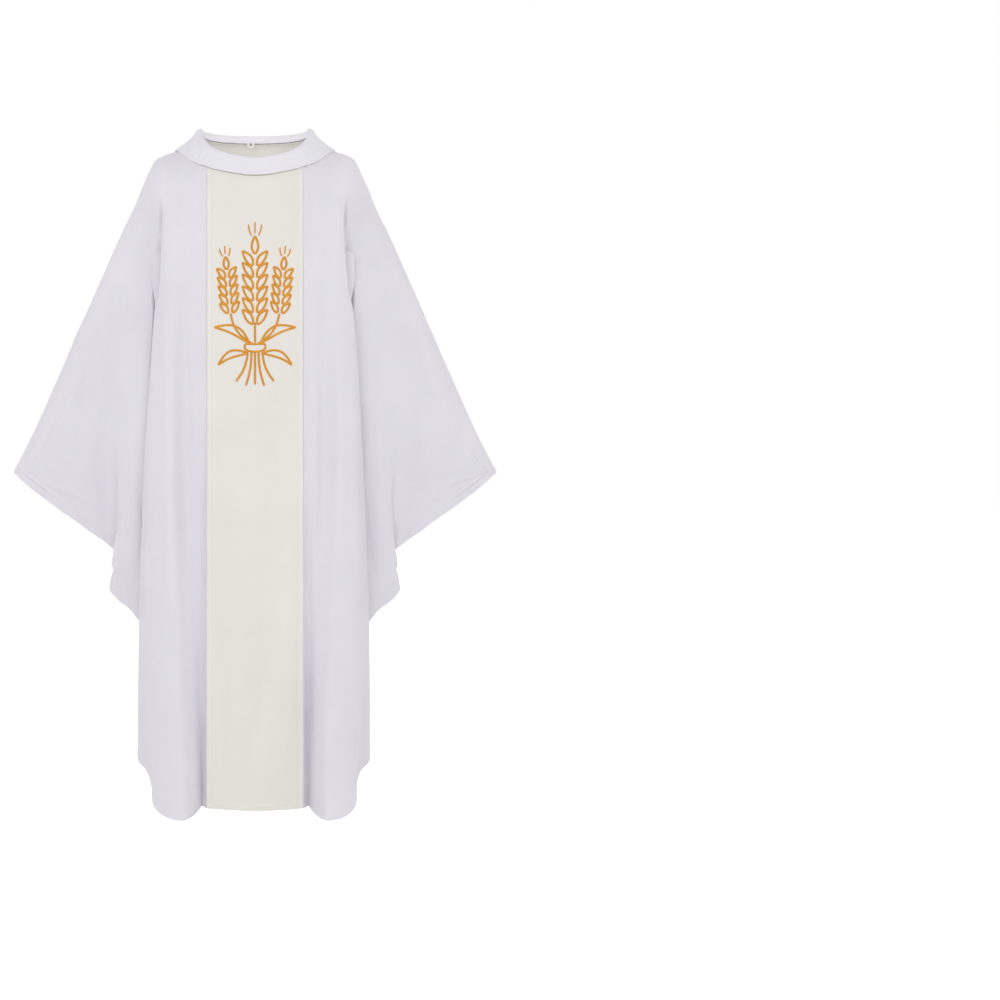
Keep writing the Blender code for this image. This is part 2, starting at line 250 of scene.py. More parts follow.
@dataclass(frozen=True)
class RobeForm:
    """The robe's form, from its neckline over the shoulders to the hem. Lengths are in millimetres."""

    seam_gap: float = 0.3
    ridge_gap: float = 0.03
    band_half: float = 88.0
    neck_half: float = 97.0
    neck_square: float = 2.3
    neck_turn: float = 0.05
    front_neck: tuple[float, float] = (93.0, -29.0)
    back_neck: tuple[float, float] = (77.0, 47.0)
    side_neck_z: float = 43.0
    roll: float = 110.0
    slope_power: float = 1.5
    slope_width: float = 90.0
    settle: float = 170.0
    back_share: float = 0.25
    arm_depth: float = 50.0
    roll_rows: int = 18
    hang_rows: int = 118
    hem_rows: tuple[float, ...] = (14.0, 10.5, 9.0, 7.5, 4.0, 1.2, 0.0)
    levels: tuple[float, ...] = (-110.0, -275.0, -560.0, -820.0, -1200.0)
    band_middle: tuple[float, ...] = (124.0, 128.0, 131.0, 136.0, 136.0)
    band_cut: float = -1218.0
    ridge: tuple[Ridge, ...] = (
        Ridge(x=97.0, z=43.0),
        Ridge(x=125.0, z=28.0),
        Ridge(x=153.0, z=14.0),
        Ridge(x=178.0, z=4.0),
        Ridge(x=190.0, z=-4.0),
        Ridge(x=201.0, z=-26.0),
        Ridge(x=219.0, z=-66.0),
        Ridge(x=268.0, z=-172.0),
        Ridge(x=352.0, z=-363.0),
        Ridge(x=439.0, z=-554.0),
        Ridge(x=458.0, z=-590.0),
    )
    folds: tuple[Fold, ...] = (
        Fold("band seam", 88.0, (88, 118), (88, 122), (88, 127), (88, 132), (88, 132), -1214),
        Fold("groove", 94.5, (97, 117), (97, 119), (98, 121), (98, 119), (98, 116), -1212),
        Fold("neck point", 97.0, (106, 116), (110, 118), (112, 119), (108, 121), (104, 130), -1217),
        Fold("inner trough", 114.0, (121, 115), (127, 118), (129, 118), (121, 131), (112, 153), -1223),
        Fold("lobe crest", 134.0, (139, 113), (147, 121), (152, 133), (145, 150), (131, 175), -1228),
        Fold("lobe outer", 152.0, (155, 110), (165, 114), (175, 120), (174, 134), (164, 160), -1223),
        Fold("lobe corner", 168.0, (166, 107), (178, 104), (192, 102), (199, 104), (186, 127), -1208),
        Fold("side wall", 179.0, (172, 103), (186, 96), (201, 88), (209, 80), (189, 96), -1182),
        Fold("side front", 187.0, (178, 99), (189, 90), (203, 79), (214, 66), (200, 73), -1156),
        Fold("side crest", 194.0, (182, 95), (190, 83), (203, 70), (216, 55), (220, 56), -1136),
        Fold("side back", 200.0, (186, 91), (187, 75), (198, 60), (211, 44), (214, 42), -1093),
        Fold("valley", 206.0, (191, 86), (184, 66), (188, 50), (197, 34), (199, 34), -985),
        Fold("sleeve inner", 213.0, (199, 79), (189, 58), (192, 42), (202, 24), (202, 24), -905),
        Fold("underarm inner", 226.0, (212, 68), (210, 53), (217, 42), (231, 24), (233, 24), -864),
        Fold("underarm crest", 250.0, (234, 60), (238, 51), (246, 42), (273, 34), (273, 34), -820),
        Fold("notch", 283.0, (268, 56), (270, 50), (272, 40), (262, 19), (262, 19), -752),
        Fold("sleeve low", 328.0, (318, 52), (318, 50), (320, 46), (320, 40), (320, 40), -704),
        Fold("sleeve mid", 374.0, (369, 48), (369, 48), (371, 44), (371, 40), (371, 40), -667),
        Fold("sleeve outer", 414.0, (411, 44), (411, 44), (411, 42), (411, 38), (411, 38), -637),
        Fold("cuff", 441.0, (440, 40), (440, 40), (440, 38), (440, 36), (440, 36), -613),
        Fold("wrist", 458.0, (458, 36), (458, 36), (458, 34), (458, 34), (458, 34), -599),
    )

    def neckline(self, x: float, face: Face) -> tuple[float, float]:
        """The y and z of the neckline above x.

        Args:
            x: How far from the middle.
            face: The front or the back.

        Returns:
            Its y and z.
        """
        depth, middle_z = self.front_neck if face is Face.FRONT else self.back_neck
        reach = (1 - min(abs(x) / self.neck_half, 1.0) ** self.neck_square) ** (1 / self.neck_square)
        start = self.neck_turn
        turn = (math.hypot(reach, start) - start) / (math.hypot(1, start) - start)
        z = self.side_neck_z + (middle_z - self.side_neck_z) * turn
        return face.value * (depth * reach + self.seam_gap), z

    def top_of(self, x: float, face: Face) -> tuple[float, float]:
        """The y and z where the cloth above x begins.

        Args:
            x: How far from the middle.
            face: The front or the back.

        Returns:
            The y and z of the neckline, or past it of the ridge line.
        """
        if x < self.neck_half:
            return self.neckline(x, face)
        z = float(smooth([ridge.x for ridge in self.ridge], [ridge.z for ridge in self.ridge], x))
        return face.value * self.ridge_gap, z

    def hung_depth(self, depth: np.ndarray, face: Face) -> np.ndarray:
        """The depth on this face, from the depth in the table: the back hangs nearer to the body."""
        if face is Face.FRONT:
            return depth
        return depth - self.back_share * np.maximum(depth - self.arm_depth, 0.0)

    def course(self, place: float) -> tuple[float, list[float], list[float], float]:
        """What the tables say at a place across the cloth.

        Args:
            place: From 0 to 1 over half the band, and then one for each fold.

        Returns:
            The top x, the x by level, the depth by level and the height of the hem.
        """
        count = len(self.levels)
        if place <= 1:
            x = self.band_half * place
            seam = self.folds[0]
            across = place * place
            edges = [section[1] for section in seam.sections()]
            depths = [middle + (edge - middle) * across for middle, edge in zip(self.band_middle, edges)]
            return x, [x] * count, depths, self.band_cut + (seam.cut - self.band_cut) * across
        number = place - 1
        rows = range(len(self.folds))
        table = [fold.sections() for fold in self.folds]
        top = float(np.interp(number, rows, [fold.top for fold in self.folds]))
        cut = float(smooth(rows, [fold.cut for fold in self.folds], number))
        xs = [float(smooth(rows, [row[level][0] for row in table], number)) for level in range(count)]
        depths = [float(smooth(rows, [row[level][1] for row in table], number)) for level in range(count)]
        return top, xs, depths, cut

    def by_level(self, values: Sequence[float], z: np.ndarray | float) -> np.ndarray:
        """A value that the table gives by level, at any height."""
        return from_top(self.levels, values, z)

    def cloth_at(self, place: float, z: np.ndarray, face: Face) -> np.ndarray:
        """The points of the cloth at a place across it.

        Args:
            place: The place across the cloth, as for course.
            z: The heights.
            face: The front or the back.

        Returns:
            One point for each height.
        """
        top_x, xs, depths, _ = self.course(place)
        top_y, top_z = self.top_of(top_x, face)
        z = np.minimum(np.asarray(z, float), top_z)
        fallen = top_z - z
        start = top_x - self.by_level(xs, top_z)
        x = self.by_level(xs, z) + start * (1 - ease(fallen / self.settle))
        hung = face.value * self.hung_depth(self.by_level(depths, z), face)
        level_start = ease((top_x - self.neck_half) / self.slope_width) if face is Face.FRONT else 1.0
        turned = np.sqrt(1 - (1 - np.clip(fallen / self.roll, 0.0, 1.0)) ** 2)
        left = 1 - top_y / hung
        rest = np.clip(left ** (1 / self.slope_power) - fallen / self.roll, 0.0, 1.0)
        sloped = 1 - rest**self.slope_power / left
        y = top_y + (hung - top_y) * (turned * level_start + sloped * (1 - level_start))
        return np.stack([x, y, z], axis=-1)

    def line_down(self, place: float, face: Face) -> np.ndarray:
        """One line of the cloth from its top to the hem, with rows close together in the hem.

        Args:
            place: The place across the cloth, as for course.
            face: The front or the back.

        Returns:
            The line's points.
        """
        top_x, _, _, cut = self.course(place)
        top_z = self.top_of(top_x, face)[1]
        length = top_z - cut
        turn = self.roll * length / (length + self.roll)
        last = math.acos(1 - turn / self.roll)
        rolled = [self.roll * (1 - math.cos(last * i / self.roll_rows)) for i in range(self.roll_rows)]
        above_hem = length - self.hem_rows[0]
        hung = [turn + (above_hem - turn) * i / self.hang_rows for i in range(self.hang_rows)]
        hem = [length - rise for rise in self.hem_rows]
        return self.cloth_at(place, top_z - np.array(rolled + hung + hem), face)

    def place_of(self, x: float) -> float:
        """The place across the cloth whose top is at this x.

        Args:
            x: How far from the middle.

        Returns:
            The place, as for course.
        """
        if x <= self.band_half:
            return x / self.band_half
        tops = [fold.top for fold in self.folds]
        return 1 + float(np.interp(x, tops, range(len(tops))))

    def band_grid(self, xs: list[float], face: Face) -> np.ndarray:
        """Lines of the band at these x, each from the neckline to the hem."""
        lines = [self.line_down(abs(x) / self.band_half, face) * (math.copysign(1, x), 1, 1) for x in xs]
        return np.stack(lines, axis=1)

    def panel_grid(self, face: Face, numbers: np.ndarray) -> np.ndarray:
        """Lines of the left side panel at these fold numbers, from the band seam to the wrist."""
        return np.stack([self.line_down(1 + number, face) for number in numbers], axis=1)


@dataclass(frozen=True)
class Crease:
    """A soft ridge or trough, drawn on the front view of one face and side.

    Depth is how far it stands out, or in where it is negative. The band's creases have a signed x, and a
    side's run outwards from the middle. Bow is how far its middle lies off the straight line, and tail is
    the share of its length over which it fades.
    """

    top: tuple[float, float]
    foot: tuple[float, float]
    width: float
    depth: float
    bow: float = 0.0
    tail: float = 0.35

    def push(self, x: np.ndarray, z: np.ndarray) -> np.ndarray:
        """How far this crease moves the cloth out at these points of the front view.

        Args:
            x: The points' x.
            z: Their heights.

        Returns:
            One length for each point.
        """
        start = np.array(self.top, float)
        run = np.array(self.foot, float) - start
        length = float(np.hypot(*run))
        run /= length
        along = ((x - start[0]) * run[0] + (z - start[1]) * run[1]) / length
        off = (x - start[0]) * -run[1] + (z - start[1]) * run[0]
        off = off - self.bow * np.sin(np.pi * np.clip(along, 0.0, 1.0))
        ends = ease((along + self.tail) / (2 * self.tail)) * ease((1 + self.tail - along) / (2 * self.tail))
        return self.depth * ends * np.exp(-((off / self.width) ** 2))


@dataclass(frozen=True)
class Pleat:
    """The deep pleat beside a lobe, whose edge shows as one thin line from the shoulder to the underarm.

    Line gives its x at each height, and form_edge that of the form's own edge. Above the overlap the line
    is a groove, and below it the sleeve's cloth comes out from under the edge and rises beside it.
    """

    line: tuple[float, ...]
    heights: tuple[float, ...] = (-120.0, -166.0, -278.0, -410.0, -594.0, -762.0)
    form_edge: tuple[float, ...] = (182.0, 185.0, 190.0, 197.0, 205.0, 214.0)
    shifted: tuple[float, float, float, float] = (4.0, 8.0, 12.0, 14.0)
    fade: tuple[float, float] = (-60.0, -150.0)
    groove: float = -10.0
    groove_width: float = 3.2
    groove_ends: tuple[float, float, float, float] = (-88.0, -135.0, -235.0, -300.0)
    rise_heights: tuple[float, ...] = (-175.0, -250.0, -330.0, -560.0, -800.0)
    rises: tuple[float, ...] = (0.0, 13.0, 17.0, 23.0, 26.0)
    rise_start: float = -2.5
    rise_width: float = 3.5
    rise_reach: float = 80.0
    under: float = 11.0
    corner: float = -14.0
    corner_folds: tuple[float, float, float, float] = (12.6, 13.6, 14.8, 15.3)
    corner_heights: tuple[float, float, float, float] = (-600.0, -690.0, -735.0, -810.0)

    def at(self, z: np.ndarray) -> np.ndarray:
        """The x of the pleat's line at these heights."""
        return from_top(self.heights, self.line, z)

    def shift(self, z: np.ndarray, numbers: np.ndarray) -> np.ndarray:
        """How far the cloth at the pleat lies sideways of the form, for each point of a grid.

        Args:
            z: The points' heights.
            numbers: The fold number of each column.

        Returns:
            One length for each point, outwards from the middle.
        """
        edge = from_top(self.heights, self.form_edge, z)
        share = between(numbers, *self.shifted) * ease((self.fade[0] - z) / (self.fade[0] - self.fade[1]))
        tucked = between(numbers, *self.corner_folds) * between_heights(z, self.corner_heights)
        return (self.at(z) - edge) * share + self.corner * tucked

    def push(self, x: np.ndarray, z: np.ndarray, numbers: np.ndarray) -> np.ndarray:
        """How far the pleat moves the cloth out, for each point of a grid.

        Args:
            x: The points' x, outwards from the middle.
            z: Their heights.
            numbers: The fold number of each column.

        Returns:
            One length for each point.
        """
        off = x - self.at(z)
        ends = between_heights(z, self.groove_ends)
        groove = self.groove * ends * np.exp(-((off / self.groove_width) ** 2))
        rise = from_top(self.rise_heights, self.rises, z)
        beside = off - self.rise_start
        up = ease(beside / self.rise_width) * (1 - ease((beside - self.rise_width) / self.rise_reach))
        return groove + rise * up * ease(numbers - self.under)


@dataclass(frozen=True)
class Drape:
    """The uneven part of the cloth's hang: creases drawn over a faint slow undulation."""

    creases: tuple[Crease, ...]
    seed: int
    pleat: Pleat | None = None
    wave: float = 0.7
    waves: int = 7
    wave_widths: tuple[float, float] = (70.0, 190.0)
    wave_lengths: tuple[float, float] = (260.0, 800.0)
    pucker: float = 0.22
    pucker_pitch: float = 17.0
    pucker_reach: float = 9.0
    sway_lengths: tuple[float, float] = (61.0, 23.0)
    short_sway: float = 0.6
    pucker_drift: float = 1.8
    pucker_swell: float = 0.5

    def undulation(self, across: np.ndarray, down: np.ndarray) -> np.ndarray:
        """A slow wave over the cloth, the same on each run.

        Args:
            across: How far each point lies across the cloth.
            down: How far it lies down the cloth.

        Returns:
            How far the wave moves each point out.
        """
        draw = random.Random(self.seed)
        total = np.zeros_like(across)
        for _ in range(self.waves):
            wide = draw.uniform(*self.wave_widths)
            tall = draw.uniform(*self.wave_lengths) * draw.choice((-1.0, 1.0))
            phase = draw.uniform(0.0, math.tau)
            total += np.sin(math.tau * (across / wide + down / tall) + phase)
        return self.wave * total / math.sqrt(self.waves)

    def puckering(self, from_seam: np.ndarray, z: np.ndarray) -> np.ndarray:
        """The small gathers that the tape's stitches pull into the cloth beside them.

        Args:
            from_seam: How far each point lies from the band's seam.
            z: Their heights.

        Returns:
            How far the gathers move each point out.
        """
        long, short = self.sway_lengths
        slow = np.sin(z / long) + self.short_sway * np.sin(z / short + 1.0)
        ripple = np.sin(math.tau * z / self.pucker_pitch + self.pucker_drift * slow)
        swell = 1 + self.pucker_swell * slow
        return self.pucker * ripple * swell * np.exp(-np.abs(from_seam) / self.pucker_reach)

    def apply(self, grid: np.ndarray, face: Face, seam_x: float, hold: np.ndarray,
              numbers: np.ndarray) -> np.ndarray:
        """Moves a grid of cloth out and in.

        Args:
            grid: The cloth's points.
            face: The face that it lies on.
            seam_x: The x of the band's seam.
            hold: How free each point is, from 0, sewn down, to 1.
            numbers: The fold number of each column.

        Returns:
            The moved points.
        """
        if self.pleat:
            grid = grid.copy()
            grid[..., 0] += self.pleat.shift(grid[..., 2], numbers)
        out = outward(normals_of(grid), face)
        x, z = grid[..., 0], grid[..., 2]
        push = self.undulation(lengths_along(grid, 1), lengths_along(grid, 0))
        if self.pleat:
            push = push + self.pleat.push(x, z, numbers)
        for crease in self.creases:
            push = push + crease.push(x, z)
        push = push * hold + self.puckering(np.abs(x) - seam_x, z)
        return grid + out * push[..., None]


def linear(colour: tuple[int, int, int]) -> tuple[float, float, float, float]:
    """A colour given as it shows on a screen, 0 to 255, as the shader takes it."""
    parts = [part / 255 for part in colour]
    red, green, blue = [p / 12.92 if p <= 0.04045 else ((p + 0.055) / 1.055) ** 2.4 for p in parts]
    return red, green, blue, 1.0


@dataclass(frozen=True)
class Grain:
    """How coarse and how rough a noise is."""

    scale: float
    detail: float
    roughness: float = 0.5


class NodeDesk:
    """A short way to lay out and join the nodes of one tree."""

    def __init__(self, tree: bpy.types.NodeTree) -> None:
        """Works on this tree."""
        self.tree = tree

    def put(self, value: object, socket: bpy.types.NodeSocket) -> None:
        """Feeds an input with another node's output, or sets its value.

        Args:
            value: The output, or the value.
            socket: The input.
        """
        if isinstance(value, bpy.types.NodeSocket):
            self.tree.links.new(value, socket)
        else:
            socket.default_value = value

    def node(self, kind: str, **values: object) -> bpy.types.Node:
        """Adds a node.

        Args:
            kind: The node's type, without the leading ShaderNode.
            values: Properties of the node, or what its inputs get, by name with _ for a space.

        Returns:
            The new node.
        """
        made = self.tree.nodes.new("ShaderNode" + kind)
        for key, value in values.items():
            socket = made.inputs.get(key.replace("_", " "))
            if socket is not None:
                self.put(value, socket)
            else:
                setattr(made, key, value)
        return made

    def maths(self, operation: str, *inputs: object) -> bpy.types.NodeSocket:
        """Adds a Math node.

        Args:
            operation: The operation's name.
            inputs: Numbers or sockets, in order.

        Returns:
            Its output socket.
        """
        made = self.node("Math", operation=operation)
        for place, value in enumerate(inputs):
            self.put(value, made.inputs[place])
        return made.outputs[0]

    def noise(self, grain: Grain, place: bpy.types.NodeSocket) -> bpy.types.NodeSocket:
        """A noise of this grain at a place."""
        made = self.node("TexNoise", Scale=grain.scale, Detail=grain.detail, Roughness=grain.roughness,
                         Vector=place)
        return made.outputs["Fac"]

    def spread(self, share: bpy.types.NodeSocket, low: float, high: float) -> bpy.types.NodeSocket:
        """A number from low to high, by a share that is held from 0 to 1."""
        return self.node("MapRange", Value=share, To_Min=low, To_Max=high).outputs["Result"]


class MaterialDesk(NodeDesk):
    """The nodes of one new material, around its shader."""

    def __init__(self, name: str) -> None:
        """Starts a material with its output and its shader.

        Args:
            name: The material's name.
        """
        self.material = bpy.data.materials.new(name)
        self.material.use_nodes = True
        super().__init__(self.material.node_tree)
        self.shader = self.tree.nodes["Principled BSDF"]

    def dress(self, **values: object) -> None:
        """Feeds or sets the shader's inputs, by name with _ for a space."""
        for key, value in values.items():
            self.put(value, self.shader.inputs[key.replace("_", " ")])

    def tint(self, share: bpy.types.NodeSocket, shade: tuple[int, int, int],
             light: tuple[int, int, int]) -> None:
        """Colours the material between two screen colours, by a share that is held from 0 to 1.

        Args:
            share: The share.
            shade: The colour at 0.
            light: The colour at 1.
        """
        clamp = self.node("Clamp", Value=share)
        mixed = self.node("Mix", data_type="RGBA", Factor=clamp.outputs[0])
        for socket, colour in ((mixed.inputs[6], shade), (mixed.inputs[7], light)):
            socket.default_value = linear(colour)
        self.dress(Base_Color=mixed.outputs[2])


@dataclass(frozen=True)
class ClothFinish:
    """A woven cloth: its two near shades, its threads and its sheen."""

    name: str
    slot: str
    light: tuple[int, int, int]
    shade: tuple[int, int, int]
    roughness: float
    sheen: float
    thread: float
    relief: float
    weave: Weave = Weave.PLAIN
    relief_strength: float = 0.35
    slub: Grain = Grain(900.0, 2.0)
    slub_stretch: float = 0.12
    slub_height: float = 1.4
    slub_shade: float = 0.35
    crumple: Grain = Grain(34.0, 4.0, 0.55)
    crumple_height: float = 1.2
    crumple_strength: float = 0.12
    mottle: Grain = Grain(7.0, 3.0)
    contrast: float = 1.6
    darker: float = -0.6
    sheen_roughness: float = 0.45
    specular: float = 0.25

    def material(self) -> bpy.types.Material:
        """The cloth's material, on UVs that are metres of cloth.

        Returns:
            The new material.
        """
        desk = MaterialDesk(self.name)
        place = desk.node("TexCoord").outputs
        uv = desk.node("SeparateXYZ", Vector=place["UV"]).outputs
        turns = math.tau / (self.thread * MM)
        across = desk.maths("MULTIPLY", uv["X"], turns)
        down = desk.maths("MULTIPLY", uv["Y"], turns)
        if self.weave is Weave.TWILL:
            slant = desk.maths("MULTIPLY", desk.maths("ADD", across, down), 0.5)
            height = desk.maths("MULTIPLY", desk.maths("SINE", slant), 0.5)
        else:
            height = desk.maths("MULTIPLY", desk.maths("SINE", across), desk.maths("SINE", down))
        stretch = desk.node("Mapping", Scale=(1.0, self.slub_stretch, 1.0), Vector=place["UV"])
        slub = desk.noise(self.slub, stretch.outputs["Vector"])
        relief = desk.maths("ADD", height, desk.maths("MULTIPLY", slub, self.slub_height))
        fine = desk.node("Bump", Strength=self.relief_strength, Distance=self.relief * MM, Height=relief)
        soft = desk.node("Bump", Strength=self.crumple_strength, Distance=self.crumple_height * MM,
                         Height=desk.noise(self.crumple, place["Object"]), Normal=fine.outputs["Normal"])
        mottle = desk.noise(self.mottle, place["Object"])
        thread_shade = desk.maths("MULTIPLY_ADD", slub, self.slub_shade, mottle)
        share = desk.maths("MULTIPLY_ADD", thread_shade, self.contrast, self.darker)
        desk.tint(share, self.shade, self.light)
        desk.dress(Normal=soft.outputs["Normal"], Roughness=self.roughness, Sheen_Weight=self.sheen,
                   Sheen_Roughness=self.sheen_roughness, Specular_IOR_Level=self.specular)
        return desk.material


@dataclass(frozen=True)
class ThreadFinish:
    """Embroidery thread laid side by side across a line."""

    name: str
    slot: str
    light: tuple[int, int, int]
    shade: tuple[int, int, int]
    pitch: float
    relief: float
    roughness: float = 0.38
    metallic: float = 0.25
    sheen: float = 0.1
    slant: float = 0.25
    uneven: Grain = Grain(420.0, 2.0)
    uneven_height: float = 0.5
    uneven_shade: float = 0.6
    relief_strength: float = 0.8
    # The painted strand shade: how sharp it is and how strong it is.
    strand_power: float = 0.6
    strand_shade: float = 0.6

    def material(self) -> bpy.types.Material:
        """The thread's material, on UVs that are metres along and across the line.

        Returns:
            The new material.
        """
        desk = MaterialDesk(self.name)
        place = desk.node("TexCoord").outputs["UV"]
        uv = desk.node("SeparateXYZ", Vector=place).outputs
        along = desk.maths("MULTIPLY_ADD", uv["Y"], self.slant, uv["X"])
        turns = desk.maths("MULTIPLY", along, math.tau / (self.pitch * MM))
        strand = desk.maths("MULTIPLY_ADD", desk.maths("SINE", turns), 0.5, 0.5)
        uneven = desk.noise(self.uneven, place)
        relief = desk.maths("MULTIPLY_ADD", uneven, self.uneven_height, strand)
        bump = desk.node("Bump", Strength=self.relief_strength, Distance=self.relief * MM, Height=relief)
        # Painted light and shade: each strand is coloured lighter on its crest and darker in the groove
        # between strands, following the same wave as its relief.
        lit = desk.maths("MULTIPLY", desk.maths("POWER", strand, self.strand_power), self.strand_shade)
        desk.tint(desk.maths("MULTIPLY_ADD", uneven, self.uneven_shade, lit), self.shade, self.light)
        desk.dress(Normal=bump.outputs["Normal"], Roughness=self.roughness, Metallic=self.metallic,
                   Sheen_Weight=self.sheen)
        return desk.material


@dataclass(frozen=True)
class Cut:
    """The flat piece that a part of the robe is cut from, in metres and square metres."""

    width: float
    length: float
    area: float
    held: str = "hung"


@dataclass
class Workroom:
    """Makes the meshes of sewn cloth and keeps what they share."""

    form: RobeForm
    materials: dict[str, bpy.types.Material] = field(default_factory=dict)

    def material(self, finish: ClothFinish | ThreadFinish) -> bpy.types.Material:
        """The finish's material, made once."""
        if finish.name not in self.materials:
            self.materials[finish.name] = finish.material()
        return self.materials[finish.name]

    def mesh_object(self, name: str, points: np.ndarray, faces: list[tuple[int, ...]],
                    uv: np.ndarray, finish: ClothFinish | ThreadFinish) -> bpy.types.Object:
        """Makes one object from points in millimetres.

        Args:
            name: The piece's name.
            points: One row for each point.
            faces: The points of each face, in order.
            uv: One pair for each point, in metres.
            finish: The finish that it is dressed in.

        Returns:
            The new object.
        """
        mesh = bpy.data.meshes.new(name)
        mesh.from_pydata((points * MM).tolist(), [], faces)
        layer = mesh.uv_layers.new(name="cut")
        corners = np.empty(len(mesh.loops), np.int64)
        mesh.loops.foreach_get("vertex_index", corners)
        layer.data.foreach_set("uv", uv[corners].astype(np.float32).ravel())
        mesh.materials.append(self.material(finish))
        mesh.shade_smooth()
        piece = bpy.data.objects.new(name, mesh)
        bpy.context.scene.collection.objects.link(piece)
        return piece

    def sheet(self, name: str, grid: np.ndarray, wall: float, finish: ClothFinish, ring: bool = False,
              thick: np.ndarray | None = None, thick_wall: float = 0.0, round_edge: float = 0.0
              ) -> bpy.types.Object:
        """Makes a wall of cloth through a grid of points.

        Args:
            name: The piece's name.
            grid: The cloth's points, in rows and columns.
            wall: Its thickness.
            finish: Its cloth.
            ring: Whether the last column meets the first.
            thick: How much of the thicker wall each point has, from 0 to 1.
            thick_wall: The thickness where the cloth is folded on itself.
            round_edge: The radius of its edges, or 0 where they stay square.

        Returns:
            The piece, with its thickness applied.
        """
        rows, columns = grid.shape[:2]
        if ring:
            grid = np.concatenate([grid, grid[:, :1]], axis=1)
            columns += 1
        numbers = np.arange(rows * columns).reshape(rows, columns)
        quads = np.stack([numbers[:-1, :-1], numbers[1:, :-1], numbers[1:, 1:], numbers[:-1, 1:]], axis=-1)
        uv = np.stack([lengths_along(grid, 1), lengths_along(grid, 0) - grid[:1, :, 2]], axis=-1) * MM
        piece = self.mesh_object(name, grid.reshape(-1, 3), quads.reshape(-1, 4).tolist(),
                                 uv.reshape(-1, 2), finish)
        if thick is not None:
            group = piece.vertex_groups.new(name="folded")
            for number, weight in enumerate(thick.reshape(-1).tolist()):
                if weight > 0:
                    group.add([number], weight, "REPLACE")
        self.select(piece)
        if ring:
            self.edit_all(lambda: bpy.ops.mesh.remove_doubles(threshold=MERGE_WITHIN))
        modifier = piece.modifiers.new("Wall", "SOLIDIFY")
        modifier.offset = 0.0
        modifier.thickness = max(wall, thick_wall) * MM
        if thick is not None:
            modifier.vertex_group = "folded"
            modifier.thickness_vertex_group = wall / thick_wall
        bpy.ops.object.modifier_apply(modifier="Wall")
        if round_edge > 0:
            bevel = piece.modifiers.new("Edge", "BEVEL")
            bevel.width = round_edge * MM
            bevel.segments = 2
            bevel.limit_method = "ANGLE"
            bevel.angle_limit = SHARP_ANGLE
            bpy.ops.object.modifier_apply(modifier="Edge")
        bpy.ops.object.shade_smooth_by_angle(angle=SMOOTH_ANGLE)
        return piece

    def select(self, piece: bpy.types.Object) -> None:
        """Makes one piece the only one that is selected and active."""
        bpy.ops.object.select_all(action="DESELECT")
        piece.select_set(True)
        bpy.context.view_layer.objects.active = piece

    def edit_all(self, step: Callable[[], object]) -> None:
        """Does one step in edit mode on the whole of the active piece.

        Args:
            step: What is done while all of it is selected.
        """
        bpy.ops.object.mode_set(mode="EDIT")
        bpy.ops.mesh.select_all(action="SELECT")
        step()
        bpy.ops.object.mode_set(mode="OBJECT")

    def place(self, piece: bpy.types.Object, slot: str, *nodes: str) -> None:
        """Lets a piece ride on the robe and hides the solids that it stands for.

        Args:
            piece: The piece.
            slot: Not used.
            nodes: The solids that it replaces.
        """
        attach(piece, "root")
        if nodes:
            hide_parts(*nodes)
        log.info("%s: %d faces", piece.name, len(piece.data.polygons))


